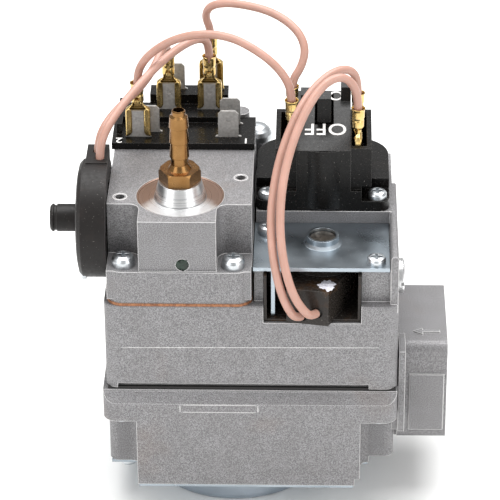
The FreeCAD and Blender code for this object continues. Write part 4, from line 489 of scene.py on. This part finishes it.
def new_piece(name, points, faces, finish):
    """A smooth mesh piece from points in millimetres that rides on the valve. Points of a pole that fall
    on each other are merged, so that the pole is closed."""
    mesh = bpy.data.meshes.new(name)
    mesh.from_pydata((points.reshape(-1, 3) * MM).tolist(), [], faces.tolist())
    merged = bmesh.new()
    merged.from_mesh(mesh)
    bmesh.ops.remove_doubles(merged, verts=merged.verts, dist=0.0005 * MM)
    merged.to_mesh(mesh)
    merged.free()
    mesh.polygons.foreach_set("use_smooth", np.ones(len(mesh.polygons), dtype=bool))
    mesh.materials.append(finish)
    mesh.update()
    piece = bpy.data.objects.new(name, mesh)
    bpy.context.scene.collection.objects.link(piece)
    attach(piece, "valve")
    return piece


print("faces of a 3 by 3 grid:", len(grid_faces(3, 3, False)))

# %% [markdown]
# ## Push-on receptacles
# Each lead ends in a stamped receptacle that slides on a quarter-inch blade. It is one strip of brass
# rolled into three shapes: a shoe with its edges curled over the blade, a narrow neck, and a barrel
# crimped on the wire. Every level of it is an open ring, so it is made as one curve whose width, depth,
# opening and squareness change with height, and Solidify gives it the gauge of the strip.

# %% Push-on receptacles
SHOE_GAUGE = 0.32
LEVELS = np.array([
    # height, half width, half depth, half opening angle in degrees, squareness
    (0.5, 4.05, 1.60, 30, 0.50), (0.9, 3.95, 1.50, 18, 0.47), (1.6, 3.85, 1.40, 12, 0.46),
    (8.8, 3.85, 1.40, 12, 0.46), (9.6, 3.70, 1.40, 22, 0.52), (10.2, 3.05, 1.25, 50, 0.65),
    (10.9, 1.80, 1.10, 84, 0.9), (11.8, 1.70, 1.15, 84, 1.0), (12.5, 2.00, 1.80, 30, 1.0),
    (14.4, 1.95, 1.85, 14, 1.0), (15.0, 1.80, 1.75, 24, 1.0), (15.6, 2.00, 1.95, 14, 1.0),
    (17.9, 2.05, 2.00, 12, 1.0), (18.6, 2.30, 2.25, 16, 1.0)])
# place of the foot and turn in degrees of each receptacle
SPOTS = [(-35.7, 14.8, 106.1, 0), (-26.8, 29.8, 108.1, 0), (-13.9, 29.8, 108.1, 0), (-13.6, 37.0, 111.5, 0),
         (12.3, 0.9, 107.4, 90), (12.3, 10.4, 107.4, 90), (32.5, 0.5, 105.0, -90), (32.5, 10.9, 105.0, -90)]


def receptacle():
    """At each height the strip runs round a superellipse: half width times sine, half depth times cosine,
    each to the power of the squareness. The angle starts and stops short of the front by the opening.
    Near its two ends the strip dips back towards the blade, by the fifth power of the way round."""
    heights = np.concatenate([np.linspace(a, b, 5, endpoint=False)
                              for a, b in zip(LEVELS[:-1, 0], LEVELS[1:, 0])] + [LEVELS[-1:, 0]])
    wide, deep, opening, square = (np.interp(heights, LEVELS[:, 0], LEVELS[:, column])[:, None]
                                   for column in (1, 2, 3, 4))
    way = np.linspace(-1, 1, 49)[None, :]
    angle = way * np.radians(180 - opening)
    x = wide * np.sign(np.sin(angle)) * np.abs(np.sin(angle)) ** square
    y = deep * np.sign(np.cos(angle)) * np.abs(np.cos(angle)) ** square
    shoe = np.clip((10.0 - heights) / 1.5, 0, 1)[:, None]
    y = y + shoe * 0.75 * np.abs(way) ** 6
    return np.stack([x, y, np.broadcast_to(heights[:, None], x.shape)], axis=-1)


def placed(points, x, y, z, turn):
    """Turns points about Z and moves them."""
    angle = math.radians(turn)
    cosine, sine = math.cos(angle), math.sin(angle)
    spin = np.array([[cosine, sine, 0], [-sine, cosine, 0], [0, 0, 1]])
    return points @ spin + np.array([x, y, z])


master = receptacle()
rows, columns = master.shape[:2]
one = grid_faces(rows, columns, False)
points = np.concatenate([placed(master, *spot).reshape(-1, 3) for spot in SPOTS])
faces = np.concatenate([one + k * rows * columns for k in range(len(SPOTS))])
receptacles = new_piece("rolled_receptacles", points, faces, drawn_brass)
wall = receptacles.modifiers.new("strip", "SOLIDIFY")
wall.thickness, wall.offset = SHOE_GAUGE * MM, -1
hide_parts("push_on_connectors")
print("receptacles:", len(SPOTS), "with", len(faces), "faces")

# %% [markdown]
# ## Turned seat of the regulator
# Around the cap the servo casting is faced on a lathe. The cut leaves a shallow recess whose floor is a
# spiral of fine grooves and whose edge is a thin bright chamfer. It is a surface of revolution: the radius
# runs along the rows, the angle along the columns, and the height follows a cosine of the radius.

# %% Turned seat of the regulator
SEAT_INNER, SEAT_OUTER, SEAT_FLOOR, SERVO_TOP, GROOVE = 8.0, 13.0, 103.53, 103.93, 0.5


def turned_seat():
    """Height is the floor plus a cosine groove of the radius; the last rows climb to the rim."""
    radius = np.concatenate([np.linspace(SEAT_INNER, SEAT_OUTER, 81), [SEAT_OUTER + 0.16, SEAT_OUTER + 0.42]])
    height = SEAT_FLOOR + 0.012 * (1 - np.cos(2 * np.pi * radius / GROOVE))
    height[-2:] = SEAT_FLOOR + 0.05, SERVO_TOP
    angle = np.linspace(0, 2 * np.pi, 180, endpoint=False)[None, :]
    x = LATHE[0] / MM + radius[:, None] * np.cos(angle)
    y = LATHE[1] / MM + radius[:, None] * np.sin(angle)
    return np.stack([x, y, np.broadcast_to(height[:, None], x.shape)], axis=-1)


seat = turned_seat()
new_piece("turned_seat", seat, grid_faces(*seat.shape[:2], True), seat_metal_painted_reflection)
print("turned seat radius (mm):", SEAT_OUTER)

# %% [markdown]
# ## Tapped hole rims, sealing wax and the daub of paint
# Two small screw holes in the servo casting have countersunk bright rims. A calibration hole in its front
# is closed with dark green wax, and somebody daubed white paint on the coil. Rims are short cones. Wax and
# paint are blobs: discs whose edge wanders with the angle and whose height falls off towards the edge.

# %% Tapped hole rims, sealing wax and the daub of paint
def hole_rim(name, x, y):
    """A cone from the hole's wall up to the face: the radius grows while the height rises."""
    radius, height = np.array([1.48, 1.95, 2.30]), np.array([103.2, 104.02, 103.89])
    angle = np.linspace(0, 2 * np.pi, 48, endpoint=False)[None, :]
    ring = np.stack([x + radius[:, None] * np.cos(angle), y + radius[:, None] * np.sin(angle),
                     np.broadcast_to(height[:, None], (3, 48))], axis=-1)
    new_piece(name, ring, grid_faces(3, 48, True), pale_casting_wear_and_highlight)


def blob(name, centre, across, up, out, sizes, lobes, finish):
    """A disc in the across-up plane. Its edge wanders as a sum of sines with the given lobe counts, and
    its thickness is the square root of one minus the squared way to the edge."""
    way, angle = np.linspace(0, 1, 12)[:, None], np.linspace(0, 2 * np.pi, 60, endpoint=False)[None, :]
    edge = 1 + sum(0.09 * np.sin(count * angle + 1.7 * count) for count in lobes)
    thick = np.sqrt(np.clip(1 - way ** 2, 0, 1)) * (1 + 0.15 * np.sin(5 * angle) * way)
    plane = (way * edge * np.cos(angle))[..., None] * across * sizes[0] + \
            (way * edge * np.sin(angle))[..., None] * up * sizes[1]
    points = centre + plane + (thick * sizes[2])[..., None] * out
    new_piece(name, points, grid_faces(12, 60, True), finish)


# A paler copy of the casting finish for the hole rims and the raised ribs: partly wear and bare metal, partly
# a painted highlight that makes these thin lines read light.
pale_casting_wear_and_highlight = blasted_casting("pale_casting_wear_and_highlight", "#b3b1b1", "#d8d7d6", 0.0)
X, Y, Z = np.eye(3)
hole_rim("left_hole_rim", -39.3, -20.4)
hole_rim("right_hole_rim", -3.1, -7.9)
blob("sealing_wax", np.array([-20.0, -35.95, 89.2]), X, Z, -Y, (1.95, 1.85, 0.25), (3, 5, 8), wax)
blob("paint_daub", np.array([23.4, -34.6, 81.68]), X, Y, Z, (2.5, 3.0, 0.35), (3, 4, 7, 11), daub_paint)
print("small marks: 4")

# %% [markdown]
# ## Casting lines
# Where the two halves of the die met, a casting keeps a thin raised line, and its front carries a faint
# empty frame. Both are half-round ribs: a half circle
# carried along a straight run, with its ends tapered to nothing.

# %% Casting lines
def rib(start, end, out, width, rise):
    """A half ellipse across the run, as high as rise, that shrinks near both ends of the run."""
    start, end = np.array(start, float), np.array(end, float)
    across = np.cross(out, (end - start) / np.linalg.norm(end - start))
    way = np.linspace(0, 1, 25)[:, None, None]
    angle = np.linspace(0, np.pi, 9)[None, :, None]
    taper = np.clip(np.minimum(way, 1 - way) * 12, 0.02, 1) ** 0.5
    return (start + (end - start) * way + taper * (-np.cos(angle) * width / 2 * across
                                                   + np.sin(angle) * rise * np.array(out)))


def ribs(name, runs, out, width, rise, finish):
    """Several ribs as one piece."""
    parts = [rib(start, end, out, width, rise) for start, end in runs]
    one = grid_faces(25, 9, False)
    new_piece(name, np.concatenate([part.reshape(-1, 3) for part in parts]),
              np.concatenate([one + k * 225 for k in range(len(parts))]), finish)


# The ribs use the paler casting finish, so their light lines are partly a painted highlight.
ribs("parting_line", [((-41, -36.98, 60.6), (41, -36.98, 61.2))], -Y, 0.28, 0.05, pale_casting_wear_and_highlight)
FRAME_LEFT, FRAME_RIGHT, FRAME_LOW, FRAME_HIGH, FRONT = -21.4, 2.5, 39.3, 41.9, -40.08
corners = [(FRAME_LEFT, FRONT, FRAME_LOW), (FRAME_RIGHT, FRONT, FRAME_LOW),
           (FRAME_RIGHT, FRONT, FRAME_HIGH), (FRAME_LEFT, FRONT, FRAME_HIGH)]
ribs("blank_frame", list(zip(corners, corners[1:] + corners[:1])), -Y, 0.3, 0.07, pale_casting_wear_and_highlight)
print("casting lines: 2")

# %% [markdown]
# ## Legends
# The words on the switch and the digits on the terminal block are white printed letters. A text is
# turned into a mesh before it is placed, so that its letters keep their shape, and it is slanted to lie on
# the sloping face of the switch.

# %% Legends
def legend(name, words, size, thick, finish, middle, tilt, turn):
    """A text made into a mesh: first centred, then tilted about X, turned about Z and moved."""
    font = bpy.data.curves.new(name, "FONT")
    font.body, font.size, font.extrude = words, size * MM, thick * MM
    font.align_x, font.align_y = "CENTER", "CENTER"
    font.offset, font.space_character = 0.008 * size * MM, 1.05
    flat = bpy.data.objects.new(name + "_flat", font)
    bpy.context.scene.collection.objects.link(flat)
    mesh = bpy.data.meshes.new_from_object(flat.evaluated_get(bpy.context.evaluated_depsgraph_get()))
    bpy.data.objects.remove(flat)
    mesh.transform(Matrix.Translation(Vector(middle) * MM) @ Matrix.Rotation(math.radians(tilt), 4, "X")
                   @ Matrix.Rotation(math.radians(turn), 4, "Z"))
    mesh.materials.clear()
    mesh.materials.append(finish)
    piece = bpy.data.objects.new(name, mesh)
    bpy.context.scene.collection.objects.link(piece)
    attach(piece, "valve")
    return piece


SLOPE = math.degrees(math.atan(0.268))
legend("off_legend", "OFF", 7.2, 0.03, legend_paint, (22.7, 3.1, 115.12), SLOPE, 180)
legend("on_legend", "O", 5.8, 0.03, legend_paint, (25.8, 17.9, 119.12), SLOPE, 180)
legend("digit_one", "1", 4.6, 0.05, legend_paint, (-2.1, 11.9, 106.16), 0, 180)
legend("digit_two", "2", 4.6, 0.05, legend_paint, (-41.6, 11.9, 106.16), 0, 180)
print("legends: 4")

# %% [markdown]
# ## Floor and light
# Catalogue light is a white room: a large soft box on each side of the camera and a broad one overhead.
# The two front boxes are what one sees as twin highlights on the collar and the cone. The floor is pale
# and plain, so that the valve stands on nothing but its own shadow.

# %% Floor and light
def floor():
    """A wide square under the valve that curves up slowly behind it, like a roll of studio paper."""
    steps = np.linspace(-3.0, 3.0, 33)
    across, deep = np.meshgrid(steps, steps, indexing="ij")
    lift = np.clip(deep - 1.5, 0, None) ** 2 * 0.5 - 0.00005
    return np.stack([across, deep, lift], axis=-1).reshape(-1, 3)


paper, paper_shader = new_finish("pale_paper", "#f4f4f3", 0.0, 0.9)
fleck = add(paper, "TexNoise", {"Vector": add(paper, "TexCoord", out="Object"), "Scale": 1 / (60.0 * MM)})
connect(paper, paper_shader, Base_Color=add(paper, "Mix", {0: fleck, 6: "#f2f2f1", 7: "#f6f6f5"}, **RGB))
mesh = bpy.data.meshes.new("studio_floor")
mesh.from_pydata(floor().tolist(), [], grid_faces(33, 33, False).tolist())
mesh.materials.append(paper)
ground = bpy.data.objects.new("studio_floor", mesh)
bpy.context.scene.collection.objects.link(ground)


def soft_box(name, place, width, height, power):
    """A rectangular area light, in metres and watts, turned so that its own -Z points at the valve."""
    lamp = bpy.data.lights.new(name, "AREA")
    lamp.shape, lamp.size, lamp.size_y, lamp.energy = "RECTANGLE", width, height, power
    light = bpy.data.objects.new(name, lamp)
    bpy.context.scene.collection.objects.link(light)
    light.location = place
    light.rotation_euler = (Vector((0, 0, 0.07)) - Vector(place)).to_track_quat("-Z", "Y").to_euler()


soft_box("left_box", (-0.75, -0.75, 0.45), 0.6, 0.9, 4.1)
soft_box("right_box", (0.75, -0.70, 0.45), 0.6, 0.9, 4.0)
soft_box("top_box", (0.0, 0.25, 1.1), 1.2, 1.0, 21)
room = bpy.data.worlds.new("white_room")
room.use_nodes = True
room.node_tree.nodes["Background"].inputs["Color"].default_value = linear("#ffffff")
room.node_tree.nodes["Background"].inputs["Strength"].default_value = 0.60
bpy.context.scene.world = room
bpy.context.scene.view_settings.view_transform = "Standard"
print("lights: 3")
